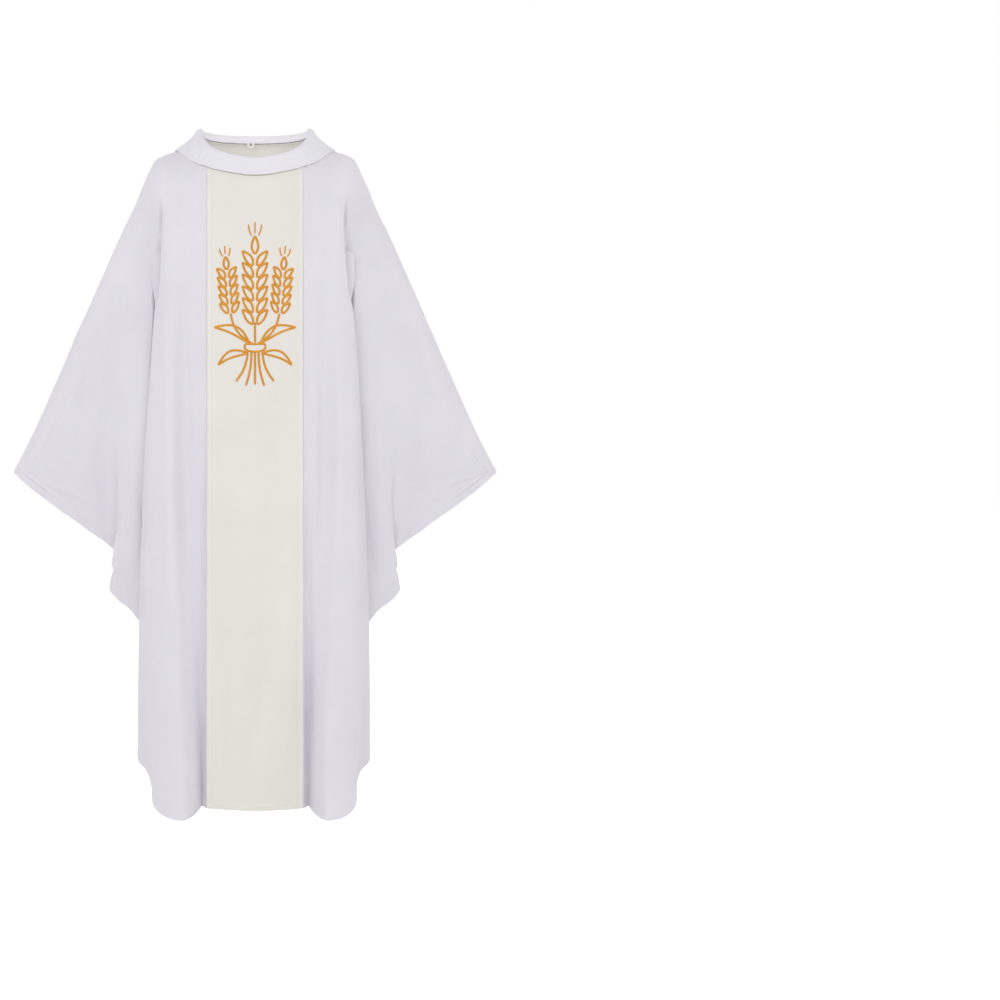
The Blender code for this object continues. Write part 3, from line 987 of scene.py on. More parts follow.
@dataclass
class Stitching:
    """Rows of short stitches, each one modelled thread laid along a line on the cloth."""

    room: Workroom
    finish: ClothFinish
    length: float = 2.4
    width: float = 0.55
    height: float = 0.4
    pitch: float = 3.3
    sunk: float = 0.06
    sides: int = 6
    end_facing: float = 0.9
    end_inset: float = 0.22
    end_depth: float = 0.2

    def one_stitch(self) -> tuple[np.ndarray, list[tuple[int, ...]]]:
        """Models one stitch along X as a short rod with drawn-in ends.

        Returns:
            Its points in millimetres, and its faces.
        """
        bpy.ops.object.select_all(action="DESELECT")
        bpy.ops.mesh.primitive_cylinder_add(vertices=self.sides, radius=self.width / 2,
                                            depth=self.length, end_fill_type="NGON",
                                            rotation=(0.0, math.pi / 2, 0.0))
        rod = bpy.context.active_object
        bpy.ops.object.transform_apply(location=True, rotation=True, scale=True)
        bpy.ops.object.mode_set(mode="EDIT")
        bpy.ops.mesh.select_all(action="SELECT")
        bpy.ops.transform.resize(value=(1.0, 1.0, self.height / self.width))
        bpy.ops.mesh.select_mode(type="FACE")
        bpy.ops.mesh.select_all(action="DESELECT")
        bpy.ops.object.mode_set(mode="OBJECT")
        for polygon in rod.data.polygons:
            polygon.select = abs(polygon.normal.x) > self.end_facing
        bpy.ops.object.mode_set(mode="EDIT")
        bpy.ops.mesh.inset(thickness=self.width * self.end_inset, depth=self.width * self.end_depth,
                           use_individual=True)
        bpy.ops.object.mode_set(mode="OBJECT")
        points = np.array([vertex.co[:] for vertex in rod.data.vertices])
        faces = [tuple(polygon.vertices) for polygon in rod.data.polygons]
        bpy.data.objects.remove(rod)
        return points, faces

    def line_near_edge(self, grid: np.ndarray, edge: Edge, inset: float) -> tuple[np.ndarray, np.ndarray]:
        """A line on the cloth at the same distance from one edge.

        Args:
            grid: The cloth's points.
            edge: The edge that the line follows.
            inset: How far the line lies from it.

        Returns:
            The line's points and the cloth's normals there.
        """
        normal = normals_of(grid)
        if edge in (Edge.INNER, Edge.OUTER):
            grid, normal = grid.transpose(1, 0, 2), normal.transpose(1, 0, 2)
        if edge in (Edge.HEM, Edge.OUTER):
            grid, normal = grid[::-1], normal[::-1]
        reach = lengths_along(grid, 0)
        lines = [np.array([read_line(inset, reach[:, column], values[:, column])
                           for column in range(grid.shape[1])]) for values in (grid, normal)]
        return lines[0], lines[1]

    def sew(self, name: str, lines: list[tuple[np.ndarray, np.ndarray, float]]) -> bpy.types.Object:
        """Lays stitches along lines.

        Args:
            name: The piece's name.
            lines: For each row its points, the cloth's normals, and how far the stitches lie along them.

        Returns:
            One piece that holds all the stitches.
        """
        stitch, stitch_faces = self.one_stitch()
        points, faces, uvs = [], [], []
        for line, normals, lift in lines:
            reach = reach_of(line)
            count = int(reach[-1] // self.pitch)
            at = (np.arange(count) + 0.5) * reach[-1] / count
            run = unit(read_line(at + 0.5, reach, line) - read_line(at - 0.5, reach, line))
            up = read_line(at, reach, normals)
            up = unit(up - run * np.sum(run * up, axis=1, keepdims=True))
            for spot, along, beside, out in zip(read_line(at, reach, line), run, np.cross(up, run), up):
                first = len(points) * len(stitch)
                turned = stitch[:, :1] * along + stitch[:, 1:2] * beside + stitch[:, 2:] * out
                points.append(spot + turned + out * (lift - math.copysign(self.sunk, lift)))
                faces += [tuple(first + corner for corner in face) for face in stitch_faces]
                uvs.append(stitch[:, :2] * MM)
        piece = self.room.mesh_object(name, np.concatenate(points), faces, np.concatenate(uvs), self.finish)
        self.room.place(piece, self.finish.slot)
        return piece

    def sew_hem(self, name: str, grid: np.ndarray, height: float, wall: float) -> bpy.types.Object:
        """Sews a hem's turn-up with a row of stitches on each side of the cloth.

        Args:
            name: The piece's name.
            grid: The cloth's points.
            height: How high the hem is turned up.
            wall: The thickness of the folded hem.

        Returns:
            The stitches.
        """
        line, normals = self.line_near_edge(grid, Edge.HEM, height - HEM_EDGE)
        return self.sew(name, [(line, normals, lift) for lift in (wall / 2, -wall / 2)])


@dataclass
class SidePanels:
    """The four side panels, with their hems and the stitches there."""

    room: Workroom
    finish: ClothFinish
    sewing: Stitching
    front_cut: Cut
    back_cut: Cut
    drapes: dict[tuple[Face, Side], Drape]
    columns: int = 7
    close_columns: tuple[tuple[str, int], ...] = (
        ("side front", 10), ("side crest", 10), ("side back", 10), ("valley", 14), ("sleeve inner", 26))
    seam_open: float = 0.1
    wall: float = 1.2
    hem_wall: float = 2.3
    hem_height: float = 9.0
    seam_hold: float = 11.0
    top_hold: float = 34.0

    def hold(self, grid: np.ndarray) -> np.ndarray:
        """How free the cloth is: sewn down at the band's seam and at its top."""
        return ease(lengths_along(grid, 1) / self.seam_hold) * ease(lengths_along(grid, 0) / self.top_hold)

    def fold_numbers(self) -> np.ndarray:
        """The fold number of each column: they lie closer together in the deep pleat.

        Returns:
            One number for each column.
        """
        folds = self.room.form.folds
        close = dict(self.close_columns)
        numbers = []
        for number, fold in enumerate(folds[:-1]):
            parts = close.get(fold.name, self.columns)
            numbers += [number + part / parts for part in range(parts)]
        return np.array([*numbers, len(folds) - 1.0])

    def build(self) -> dict[tuple[Face, Side], np.ndarray]:
        """Builds the panels and their hem stitches.

        Returns:
            The finished points of each panel, for what is sewn on them.
        """
        form = self.room.form
        grids = {}
        numbers = self.fold_numbers()
        for face in Face:
            base = form.panel_grid(face, numbers)
            strip = base[:, 1] - base[:, 0]
            lean = np.hypot(strip[:, 1], strip[:, 2]) / np.linalg.norm(strip, axis=1)
            for side in Side:
                drape = self.drapes[(face, side)]
                grid = drape.apply(base, face, form.band_half, self.hold(base), numbers)
                grid[:, 0, 0] += self.seam_open + self.wall / 2 * lean
                grid = grid * (side.value, 1, 1)
                grids[(face, side)] = grid
                node = f"{face.word}_{side.word}_panel"
                panel = self.room.sheet(f"{node}_cloth", grid, self.wall, self.finish,
                                        thick=hem_share(grid, self.hem_height), thick_wall=self.hem_wall)
                self.room.place(panel, self.finish.slot, node)
                stitches = self.sewing.sew_hem(f"{node}_hem_stitches", grid, self.hem_height, self.hem_wall)
        return grids


@dataclass
class CentreBands:
    """The ivory bands, front and back, with their edge tapes, hems and stitches."""

    room: Workroom
    finish: ClothFinish
    tape_finish: ClothFinish
    sewing: Stitching
    tape_sewing: Stitching
    cuts: dict[Face, Cut]
    drapes: dict[Face, Drape]
    columns: int = 44
    tape_width: float = 8.5
    tape_parts: int = 6
    wall: float = 1.2
    hem_wall: float = 2.2
    hem_height: float = 9.0
    tape_wall: float = 0.4
    lift: float = 0.03
    tape_stitch_inset: float = 1.3
    seam_hold: float = 14.0
    top_hold: float = 40.0

    def hold(self, grid: np.ndarray) -> np.ndarray:
        """How free the cloth is: sewn down at its two seams and at the neck."""
        inside = self.room.form.band_half - np.abs(grid[..., 0])
        return ease(inside / self.seam_hold) * ease(lengths_along(grid, 0) / self.top_hold)

    def build(self) -> dict[Face, np.ndarray]:
        """Builds the bands, the tapes and their stitches.

        Returns:
            The finished points of each band.
        """
        form = self.room.form
        half = form.band_half
        inner = half - self.tape_width
        grids = {}
        for face in Face:
            middle = np.linspace(-inner, inner, self.columns + 1)
            edge = np.linspace(inner, half, self.tape_parts + 1)[1:]
            base = form.band_grid([*(-edge[::-1]), *middle, *edge], face)
            hold = self.hold(base)
            grid = self.drapes[face].apply(base, face, half, hold, np.zeros(base.shape[1]))
            grids[face] = grid
            folded = hem_share(grid, self.hem_height)
            band = self.room.sheet(f"{face.word}_band_cloth", grid, self.wall, self.finish,
                                   thick=folded, thick_wall=self.hem_wall)
            self.room.place(band, self.finish.slot, f"{face.word}_band")
            trims = [self.sewing.sew_hem(f"{face.word}_band_hem_stitches", grid, self.hem_height,
                                         self.hem_wall)]
            for side in Side:
                trims += self.build_tape(face, side, grid, folded)
        return grids

    def build_tape(self, face: Face, side: Side, grid: np.ndarray, folded: np.ndarray
                   ) -> list[bpy.types.Object]:
        """Builds one edge tape on the band's own points, with a row of stitches along each edge.

        Args:
            face: The front or the back.
            side: The band's left or right edge.
            grid: The band's finished points.
            folded: Where the band's hem is folded double, from 0 to 1.

        Returns:
            The tape and its stitches.
        """
        columns = slice(-self.tape_parts - 1, None) if side is Side.LEFT else slice(0, self.tape_parts + 1)
        wall = self.wall + (self.hem_wall - self.wall) * folded
        away = (wall + self.tape_wall) / 2 + self.lift
        raised = (grid + outward(normals_of(grid), face) * away[..., None])[1:, columns]
        node = f"{face.word}_{side.word}_tape"
        tape = self.room.sheet(f"{node}_cloth", raised, self.tape_wall, self.tape_finish, round_edge=0.2)
        self.room.place(tape, self.tape_finish.slot, node)
        rows = []
        for edge in (Edge.INNER, Edge.OUTER):
            line, normals = self.tape_sewing.line_near_edge(raised, edge, self.tape_stitch_inset)
            rows.append((line, normals * np.sign(normals[:, 1:2] * face.value), self.tape_wall / 2))
        return [tape, self.tape_sewing.sew(f"{node}_stitches", rows)]


@dataclass
class RolledCollar:
    """The collar: it stands up from the neck seam, folds over and falls on the shoulders."""

    room: Workroom
    finish: ClothFinish
    sewing: Stitching
    cut: Cut
    trims: list[bpy.types.Object]
    stand: tuple[tuple[float, float], ...] = ((0.0, 1.9), (-0.6, 7.0), (-0.4, 12.5), (2.6, 16.2), (6.6, 15.0))
    fall: tuple[tuple[float, float], ...] = ((0.30, 11.2), (0.55, 7.8), (0.80, 4.8), (1.0, 3.0))
    half: float = 150.0
    flare: float = 4.0
    front_drop: float = 2.5
    pull: tuple[float, float] = (1.5, 1.3)
    lean_out: float = 0.8
    lean_up: float = 0.6
    stations: int = 48
    lines: int = 44
    wall: float = 2.0
    stitch_insets: tuple[tuple[Edge, float], ...] = ((Edge.HEM, 6.0), (Edge.TOP, 3.0))
    edges: tuple[CollarEdge, ...] = (
        CollarEdge(x=0.0, front=-54.0, back=-2.0),
        CollarEdge(x=20.0, front=-53.0, back=-2.0),
        CollarEdge(x=45.0, front=-48.0, back=-1.0),
        CollarEdge(x=89.0, front=-34.0, back=1.0),
        CollarEdge(x=119.0, front=-16.0, back=8.0),
        CollarEdge(x=136.0, front=1.0, back=14.5),
        CollarEdge(x=150.0, front=14.5, back=14.5),
    )

    def section(self, angle: float, face: Face) -> np.ndarray:
        """The collar's lines at one station, from the neck seam over the fold to the lower edge.

        Args:
            angle: From 0 at the side of the neck to a right angle at its middle.
            face: The front or the back.

        Returns:
            One point for each line.
        """
        form = self.room.form
        x = form.neck_half * math.cos(angle) ** (2 / form.neck_square)
        y, z = form.neckline(x, face)
        seam = np.array([x, y, z])
        edge_x = self.half * math.cos(angle) ** self.pull[0 if face is Face.FRONT else 1]
        heights = [edge.front if face is Face.FRONT else edge.back for edge in self.edges]
        edge_z = float(smooth([edge.x for edge in self.edges], heights, edge_x))
        end = form.cloth_at(form.place_of(edge_x), edge_z, face)
        out = np.array([end[0] - x, end[1] - y, 0.0])
        out /= np.linalg.norm(out)
        up = np.array([0.0, 0.0, 1.0])
        top = max(rise for _, rise in self.stand)
        side = math.cos(angle) ** 2
        drop = self.front_drop * (1 - side) if face is Face.FRONT else 0.0
        points = []
        for away, rise in self.stand:
            share = rise / top
            points.append(seam + out * (away + self.flare * side * share) + up * (rise - drop * share))
        for share, height in self.fall:
            under = form.cloth_at(form.place_of(x + (edge_x - x) * share), z + (edge_z - z) * share, face)
            points.append(under + (out * self.lean_out + up * self.lean_up) * height)
        return np.array(points)

    def grid(self) -> np.ndarray:
        """The whole ring of the collar, as a grid from the neck seam to the lower edge.

        Returns:
            Its points, a row for each line and a column for each station.
        """
        close = math.pi / 2 - 1e-6
        angles = [min(math.pi / 2 * i / self.stations, close) for i in range(self.stations + 1)]
        front = [self.section(angle, Face.FRONT) for angle in angles]
        back = [self.section(angle, Face.BACK) for angle in angles]
        half = front[::-1] + back[1:]
        half[0][:, 0] = 0.0
        half[-1][:, 0] = 0.0
        ring = np.stack(half + [section * (-1, 1, 1) for section in half[-2:0:-1]], axis=1)
        reach = lengths_along(ring, 0).mean(axis=1)
        at = np.linspace(0.0, reach[-1], self.lines + 1)
        fine = np.empty((len(at), ring.shape[1], 3))
        for column in range(ring.shape[1]):
            for axis in range(3):
                fine[:, column, axis] = smooth(reach, ring[:, column, axis], at)
        return fine

    def build(self) -> None:
        """Builds the collar with a row of stitches near its lower edge and one at the neck seam."""
        grid = self.grid()
        collar = self.room.sheet("collar_cloth", grid, self.wall, self.finish, ring=True, round_edge=0.6)
        self.room.place(collar, self.finish.slot, "collar")
        closed = np.concatenate([grid, grid[:, :1]], axis=1)
        rows = []
        for edge, inset in self.stitch_insets:
            line, normals = self.sewing.line_near_edge(closed, edge, inset)
            away = np.sign(np.sum(normals * line * (1, 1, 0), axis=1, keepdims=True))
            facing = 1.0 if edge is Edge.HEM else -1.0
            rows.append((line, normals * away * facing, self.wall / 2))
        stitches = self.sewing.sew("collar_stitches", rows)


@dataclass
class NeckLoop:
    """The hanging loop: a flat tape bent into a U inside the back of the neck."""

    room: Workroom
    finish: ClothFinish
    middle: float = -8.0
    width: float = 14.0
    tape: float = 4.2
    drop: float = 12.0
    wall: float = 0.8
    turn_parts: int = 20
    tape_parts: int = 4
    rise: float = 4.0
    stand_off: float = 1.5
    collar_wall: float = 2.0

    def build(self) -> bpy.types.Object:
        """Builds the loop.

        Returns:
            The loop.
        """
        form = self.room.form
        y, z = form.neckline(self.middle, Face.BACK)
        y -= self.collar_wall / 2 + form.seam_gap + self.stand_off
        outer = self.width / 2
        bend = -(self.drop - outer)
        path = [(outer, 0.0, 0.0)]
        for part in range(self.turn_parts + 1):
            angle = math.pi * part / self.turn_parts
            path.append((outer, angle, bend))
        path.append((outer, math.pi, 0.0))
        rows = []
        for radius, angle, base in path:
            row = []
            for part in range(self.tape_parts + 1):
                reach = radius - self.tape * part / self.tape_parts
                row.append((self.middle + reach * math.cos(angle), y,
                            z + self.rise + base - reach * math.sin(angle)))
            rows.append(row)
        loop = self.room.sheet("neck_loop_tape", np.array(rows), self.wall, self.finish, round_edge=0.2)
        self.room.place(loop, self.finish.slot, "neck_loop")
        return loop


@dataclass(frozen=True)
class Line:
    """One satin-stitched line of the embroidery, on the front view of the band."""

    points: np.ndarray
    width: float


@dataclass(frozen=True)
class Ear:
    """An ear of wheat: its foot, its lean in degrees, and the size, pairs and spacing of its grains."""

    foot: tuple[float, float]
    lean: float
    grain: tuple[float, float]
    pairs: int
    spacing: float


@dataclass(frozen=True)
class Blade:
    """A leaf: its root from the middle of the tie, its lean in degrees, its size and its bow."""

    root: tuple[float, float]
    lean: float
    size: tuple[float, float]
    bow: float


@dataclass(frozen=True)
class Stalk:
    """A stalk below the tie: its foot and its bow."""

    foot: tuple[float, float]
    bow: float


@dataclass
class WheatMotif:
    """A sheaf of three ears of wheat with blades and a tie, drawn in outline.

    Across runs from the band's middle, and up from the design's foot. What stands beside the middle is
    given on one side and drawn on both.
    """

    height: float = 303.0
    line: float = 4.3
    awn: float = 2.6
    middle_ear: Ear = Ear((0.0, 112.0), 0.0, (34.0, 12.0), 6, 21.5)
    side_ear: Ear = Ear((45.0, 133.0), 5.0, (25.0, 9.5), 5, 16.0)
    blades: tuple[Blade, ...] = (
        Blade((11.0, 7.0), 66.0, (70.0, 15.0), 10.0),
        Blade((14.0, -12.0), 112.0, (58.0, 12.0), 9.0),
    )
    stalks: tuple[Stalk, ...] = (Stalk((17.0, 0.0), 3.0), Stalk((35.0, 8.0), 5.0))
    stalk_gather: float = 0.38
    stalk_gap: float = 3.0
    stem_foot: float = 2.0
    stem_gap: float = 4.0
    side_stem: tuple[float, float] = (6.0, 6.0)
    side_stem_bow: float = 9.0
    grain_lean: float = 34.0
    grain_bend: float = 1.6
    oval_fullness: float = 0.85
    awn_spread: float = 0.5
    awn_length: float = 0.62
    awn_bow: float = 1.5
    tie_height: float = 72.0
    tie_reach: float = 19.0
    tie_half: float = 7.0
    tie_square: float = 0.62
    tie_sag: float = 2.5
    tie_points: int = 97
    oval_points: int = 33
    bow_points: int = 40

    def pointed_oval(self, foot: np.ndarray, angle: float, size: tuple[float, float],
                     bend: float = 0.0) -> list[Line]:
        """The two sides of a pointed oval.

        Args:
            foot: Its lower point.
            angle: How far it leans from upright, towards +X.
            size: Its length and width.
            bend: How far its middle lies off its chord.

        Returns:
            Two lines from its foot to its tip.
        """
        length, width = size
        way = np.array([math.sin(angle), math.cos(angle)])
        beside = np.array([way[1], -way[0]])
        share = np.linspace(0.0, 1.0, self.oval_points)
        bulge = np.sin(np.pi * share**self.oval_fullness)
        middle = foot + np.outer(share * length, way) + np.outer(bend * np.sin(np.pi * share), beside)
        return [Line(middle + np.outer(sign * bulge * width / 2, beside), self.line) for sign in (-1, 1)]

    def draw_ear(self, ear: Ear, mirror: float) -> list[Line]:
        """The outlines of an ear's grains and the awns above them.

        Args:
            ear: The ear.
            mirror: 1, or -1 for the other side.

        Returns:
            Its lines.
        """
        angle = mirror * math.radians(ear.lean)
        way = np.array([math.sin(angle), math.cos(angle)])
        beside = np.array([way[1], -way[0]])
        foot = np.array([mirror * ear.foot[0], ear.foot[1]])
        lean = math.radians(self.grain_lean)
        lines = []
        for pair in range(ear.pairs):
            for sign in (-1, 1):
                start = foot + way * ear.spacing * pair + beside * sign * self.line
                lines += self.pointed_oval(start, angle + sign * lean, ear.grain, -sign * self.grain_bend)
        crown = foot + way * ear.spacing * ear.pairs
        lines += self.pointed_oval(crown, angle, ear.grain)
        length, width = ear.grain
        tip = crown + way * (length + self.line)
        for sign in (-1, 0, 1):
            aside = beside * sign * width * self.awn_spread
            start = tip + aside - way * abs(sign) * self.line
            end = start + way * length * self.awn_length + aside
            lines.append(self.bowed(start, end, sign * self.awn_bow, self.awn))
        return lines

    def bowed(self, foot: np.ndarray, tip: np.ndarray, bow: float, width: float) -> Line:
        """A line that bows sideways between two points.

        Args:
            foot: Its first point.
            tip: Its last point.
            bow: How far its middle lies off its chord.
            width: How wide it is stitched.

        Returns:
            The line.
        """
        share = np.linspace(0.0, 1.0, self.bow_points)
        run = tip - foot
        beside = np.array([run[1], -run[0]]) / np.hypot(*run)
        curve = foot + np.outer(share, run) + np.outer(bow * np.sin(np.pi * share), beside)
        return Line(curve, width)

    def tie(self) -> Line:
        """The band that ties the sheaf: a bulging strip across it, drawn all round.

        Returns:
            Its line.
        """
        around = np.linspace(0.0, math.tau, self.tie_points)
        waves = np.stack([np.cos(around), np.sin(around)])
        wide, tall = np.sign(waves) * np.abs(waves) ** self.tie_square
        sag = self.tie_sag * (1 - wide**2)
        points = np.stack([self.tie_reach * wide, self.tie_height + self.tie_half * tall - sag], axis=1)
        return Line(points, self.line)

    def lines(self) -> list[Line]:
        """All the lines of the design.

        Returns:
            The lines, in the order in which they are stitched.
        """
        low = self.tie_height - self.tie_half
        high = self.tie_height + self.tie_half
        crown = self.middle_ear.foot[1] + self.stem_gap
        found = [self.tie()]
        for foot, tip in ((high, crown), (self.stem_foot, low - self.stem_gap)):
            found.append(self.bowed(np.array([0.0, foot]), np.array([0.0, tip]), 0.0, self.line))
        found += self.draw_ear(self.middle_ear, 1.0)
        for sign in (-1.0, 1.0):
            for stalk in self.stalks:
                reach, foot = stalk.foot
                end = np.array([sign * reach * self.stalk_gather, low - self.stalk_gap])
                found.append(self.bowed(np.array([sign * reach, foot]), end, -sign * stalk.bow, self.line))
            start = np.array([sign * self.side_stem[0], self.tie_height + self.side_stem[1]])
            tip = np.array([sign * self.side_ear.foot[0], self.side_ear.foot[1]])
            found.append(self.bowed(start, tip, sign * self.side_stem_bow, self.line))
            found += self.draw_ear(self.side_ear, sign)
            for blade in self.blades:
                root = np.array([sign * blade.root[0], self.tie_height + blade.root[1]])
                lean = sign * math.radians(blade.lean)
                found += self.pointed_oval(root, lean, blade.size, -sign * blade.bow)
        return found


@dataclass
class Embroidery:
    """The gold design on each band: flat half-round lines of thread that follow the cloth."""

    room: Workroom
    finish: ThreadFinish
    motif: WheatMotif
    cloth: dict[Face, np.ndarray]
    top: float = -138.0
    step: float = 1.5
    fewest_steps: int = 3
    blunt_end: float = 0.12
    rise: float = 1.0
    base: float = 0.55
    profile: tuple[tuple[float, float], ...] = (
        (-1.0, -0.3), (-0.94, 0.35), (-0.7, 0.78), (-0.3, 1.0), (0.3, 1.0), (0.7, 0.78), (0.94, 0.35),
        (1.0, -0.3))

    def resampled(self, points: np.ndarray) -> np.ndarray:
        """A line's points at even steps."""
        reach = reach_of(points)
        count = max(int(reach[-1] / self.step), self.fewest_steps)
        return read_line(np.linspace(0.0, reach[-1], count + 1), reach, points)

    def strip(self, line: Line, face: Face, mirror: float) -> tuple[np.ndarray, list, np.ndarray]:
        """The mesh of one line.

        Args:
            line: The line in the design's own front view.
            face: The face that it is sewn on.
            mirror: 1, or -1 where the view from outside turns left and right round.

        Returns:
            Its points, its faces and its UVs.
        """
        flat = self.resampled(line.points)
        run = unit(np.gradient(flat, axis=0))
        beside = np.stack([run[:, 1], -run[:, 0]], axis=1)
        count = len(flat)
        ends = np.minimum(np.arange(count), np.arange(count)[::-1]) * self.step
        taper = 1 - (1 - np.clip(ends / (line.width / 2), 0.0, 1.0)) ** 2
        taper = np.sqrt(np.clip(taper, self.blunt_end, 1.0))
        reach = reach_of(flat)
        points, uv = [], []
        for offset, height in self.profile:
            spots = flat + beside * (offset * line.width / 2 * taper)[:, None]
            x = spots[:, 0] * mirror
            z = spots[:, 1] + self.top - self.motif.height
            on = self.on_cloth(x, z, face)
            on[:, 1] += face.value * (self.base + height * self.rise * taper)
            points.append(on)
            uv.append(np.stack([reach, np.full(count, offset * line.width / 2)], axis=1) * MM)
        ring = len(self.profile)
        stacked = np.stack(points, axis=1).reshape(-1, 3)
        faces = []
        for station in range(count - 1):
            for corner in range(ring):
                after = (corner + 1) % ring
                faces.append((station * ring + corner, station * ring + after,
                              (station + 1) * ring + after, (station + 1) * ring + corner))
        faces.append(tuple(range(ring))[::-1])
        faces.append(tuple((count - 1) * ring + corner for corner in range(ring)))
        if face.value * mirror > 0:
            faces = [corners[::-1] for corners in faces]
        return stacked, faces, np.stack(uv, axis=1).reshape(-1, 2)

    def on_cloth(self, x: np.ndarray, z: np.ndarray, face: Face) -> np.ndarray:
        """Points in the middle of the band's cloth, for points of its front view.

        Args:
            x: The points' x.
            z: Their heights.
            face: The front or the back.

        Returns:
            One point of the cloth for each.
        """
        grid = self.cloth[face]
        lines = [np.interp(-z, -grid[:, column, 2], grid[:, column, 1]) for column in range(grid.shape[1])]
        depths = np.array(lines)
        edges = grid[0, :, 0]
        left = np.clip(np.searchsorted(edges, x) - 1, 0, len(edges) - 2)
        share = (x - edges[left]) / (edges[left + 1] - edges[left])
        spots = np.arange(len(x))
        y = depths[left, spots] * (1 - share) + depths[left + 1, spots] * share
        return np.stack([x, y, z], axis=-1)

    def build(self) -> None:
        """Builds the design on the front and on the back."""
        for face in Face:
            mirror = -face.value
            points, faces, uvs, count = [], [], [], 0
            for line in self.motif.lines():
                found, corners, uv = self.strip(line, face, mirror)
                faces += [tuple(count + corner for corner in face_corners) for face_corners in corners]
                points.append(found)
                uvs.append(uv)
                count += len(found)
            piece = self.room.mesh_object(f"{face.word}_gold_embroidery", np.concatenate(points), faces,
                                          np.concatenate(uvs), self.finish)
            self.room.select(piece)
            self.room.edit_all(lambda: bpy.ops.mesh.normals_make_consistent(inside=False))
            bpy.ops.object.shade_smooth_by_angle(angle=SHARP_ANGLE)
            self.room.place(piece, self.finish.slot)


@dataclass(frozen=True)
class Lamp:
    """A square soft light, placed by its direction from the robe, its distance and its height."""

    name: str
    azimuth: float
    height: float
    power: float
    size: float
    distance: float = 2.8


@dataclass
class Studio:
    """The plain pale room: its floor, its soft light and the camera."""

    floor_z: float = -1.45
    floor_size: float = 160.0
    front_light: float = 0.84
    side_light: float = 1.95
    ceiling_share: float = 0.45
    floor_shade: float = 0.63
    floor_glow: float = 0.8
    floor_roughness: float = 0.9
    camera_at: tuple[float, float, float] = (0.0, -3.0, -0.65)
    frame_width: float = 1.913
    sensor: float = 36.0
    shift_x: float = 0.245
    aim: tuple[float, float, float] = (0.0, 0.0, -0.5)
    glow_at: tuple[float, float, float] = (0.0, -0.03, -0.13)
    glow_size: float = 0.05
    glow_power: float = 0.34
    lamps: tuple[Lamp, ...] = (
        Lamp("key", -24.0, 0.2, 17.0, 1.6),
        Lamp("fill", 30.0, 0.1, 12.0, 1.9),
        Lamp("rear key", 156.0, 0.2, 17.0, 1.6),
        Lamp("rear fill", 210.0, 0.1, 12.0, 1.9),
    )

    def build_floor(self) -> None:
        """Lays the floor."""
        bpy.ops.object.select_all(action="DESELECT")
        bpy.ops.mesh.primitive_plane_add(size=self.floor_size, location=(0.0, 0.0, self.floor_z))
        floor = bpy.context.active_object
        floor.name = "floor"
        desk = MaterialDesk("pale_floor")
        seen = desk.node("LightPath").outputs["Is Camera Ray"]
        desk.dress(Base_Color=(self.floor_shade,) * 3 + (1.0,), Emission_Color=WHITE,
                   Emission_Strength=desk.maths("MULTIPLY", seen, self.floor_glow),
                   Roughness=self.floor_roughness, Specular_IOR_Level=0.0)
        floor.data.materials.append(desk.material)

    def build_light(self) -> None:
        """Sets the room's own light, white where the camera sees past the floor, and the lamps."""
        world = bpy.data.worlds.new("pale_room")
        bpy.context.scene.world = world
        world.use_nodes = True
        world.node_tree.nodes.clear()
        desk = NodeDesk(world.node_tree)
        way = desk.node("SeparateXYZ", Vector=desk.node("TexCoord").outputs["Generated"]).outputs
        level = desk.spread(way["Z"], 1.0, self.ceiling_share)
        sides = desk.spread(desk.maths("MULTIPLY", way["X"], way["X"]), self.front_light, self.side_light)
        around = desk.node("Background", Color=WHITE, Strength=desk.maths("MULTIPLY", sides, level))
        plain = desk.node("Background", Color=WHITE)
        mixed = desk.node("MixShader")
        seen = desk.node("LightPath").outputs["Is Camera Ray"]
        for place, source in enumerate((seen, around.outputs[0], plain.outputs[0])):
            desk.put(source, mixed.inputs[place])
        desk.node("OutputWorld", Surface=mixed.outputs[0])
        for lamp in self.lamps:
            data = bpy.data.lights.new(lamp.name, "AREA")
            data.energy = lamp.power
            data.size = lamp.size
            turn = math.radians(lamp.azimuth)
            place = Vector((math.sin(turn) * lamp.distance, -math.cos(turn) * lamp.distance, lamp.height))
            self.hang(data, place, (place - Vector(self.aim)).to_track_quat("Z", "Y").to_matrix())
        data = bpy.data.lights.new("glow", "POINT")
        data.energy = self.glow_power
        data.shadow_soft_size = self.glow_size
        self.hang(data, Vector(self.glow_at), Matrix.Identity(3))

    def hang(self, data: bpy.types.Light, place: Vector, turned: Matrix) -> None:
        """Hangs one lamp, which the camera doesn't see.

        Args:
            data: The lamp.
            place: Where it hangs.
            turned: How it is turned.
        """
        lamp = bpy.data.objects.new(data.name, data)
        lamp.matrix_world = Matrix.Translation(place) @ turned.to_4x4()
        lamp.visible_camera = False
        bpy.context.scene.collection.objects.link(lamp)

    def build_camera(self) -> None:
        """Sets up the camera, level and facing the robe, which stands left of the picture's middle."""
        data = bpy.data.cameras.new("camera")
        data.sensor_width = self.sensor
        data.lens = self.sensor * -self.camera_at[1] / self.frame_width
        data.shift_x = self.shift_x
        camera = bpy.data.objects.new("camera", data)
        camera.matrix_world = Matrix.Translation(self.camera_at) @ Matrix.Rotation(math.pi / 2, 4, "X")
        bpy.context.scene.collection.objects.link(camera)
        bpy.context.scene.camera = camera

    def build(self) -> None:
        """Builds the room and sets plain screen colours."""
        self.build_floor()
        self.build_light()
        self.build_camera()
        bpy.context.scene.view_settings.view_transform = "Standard"


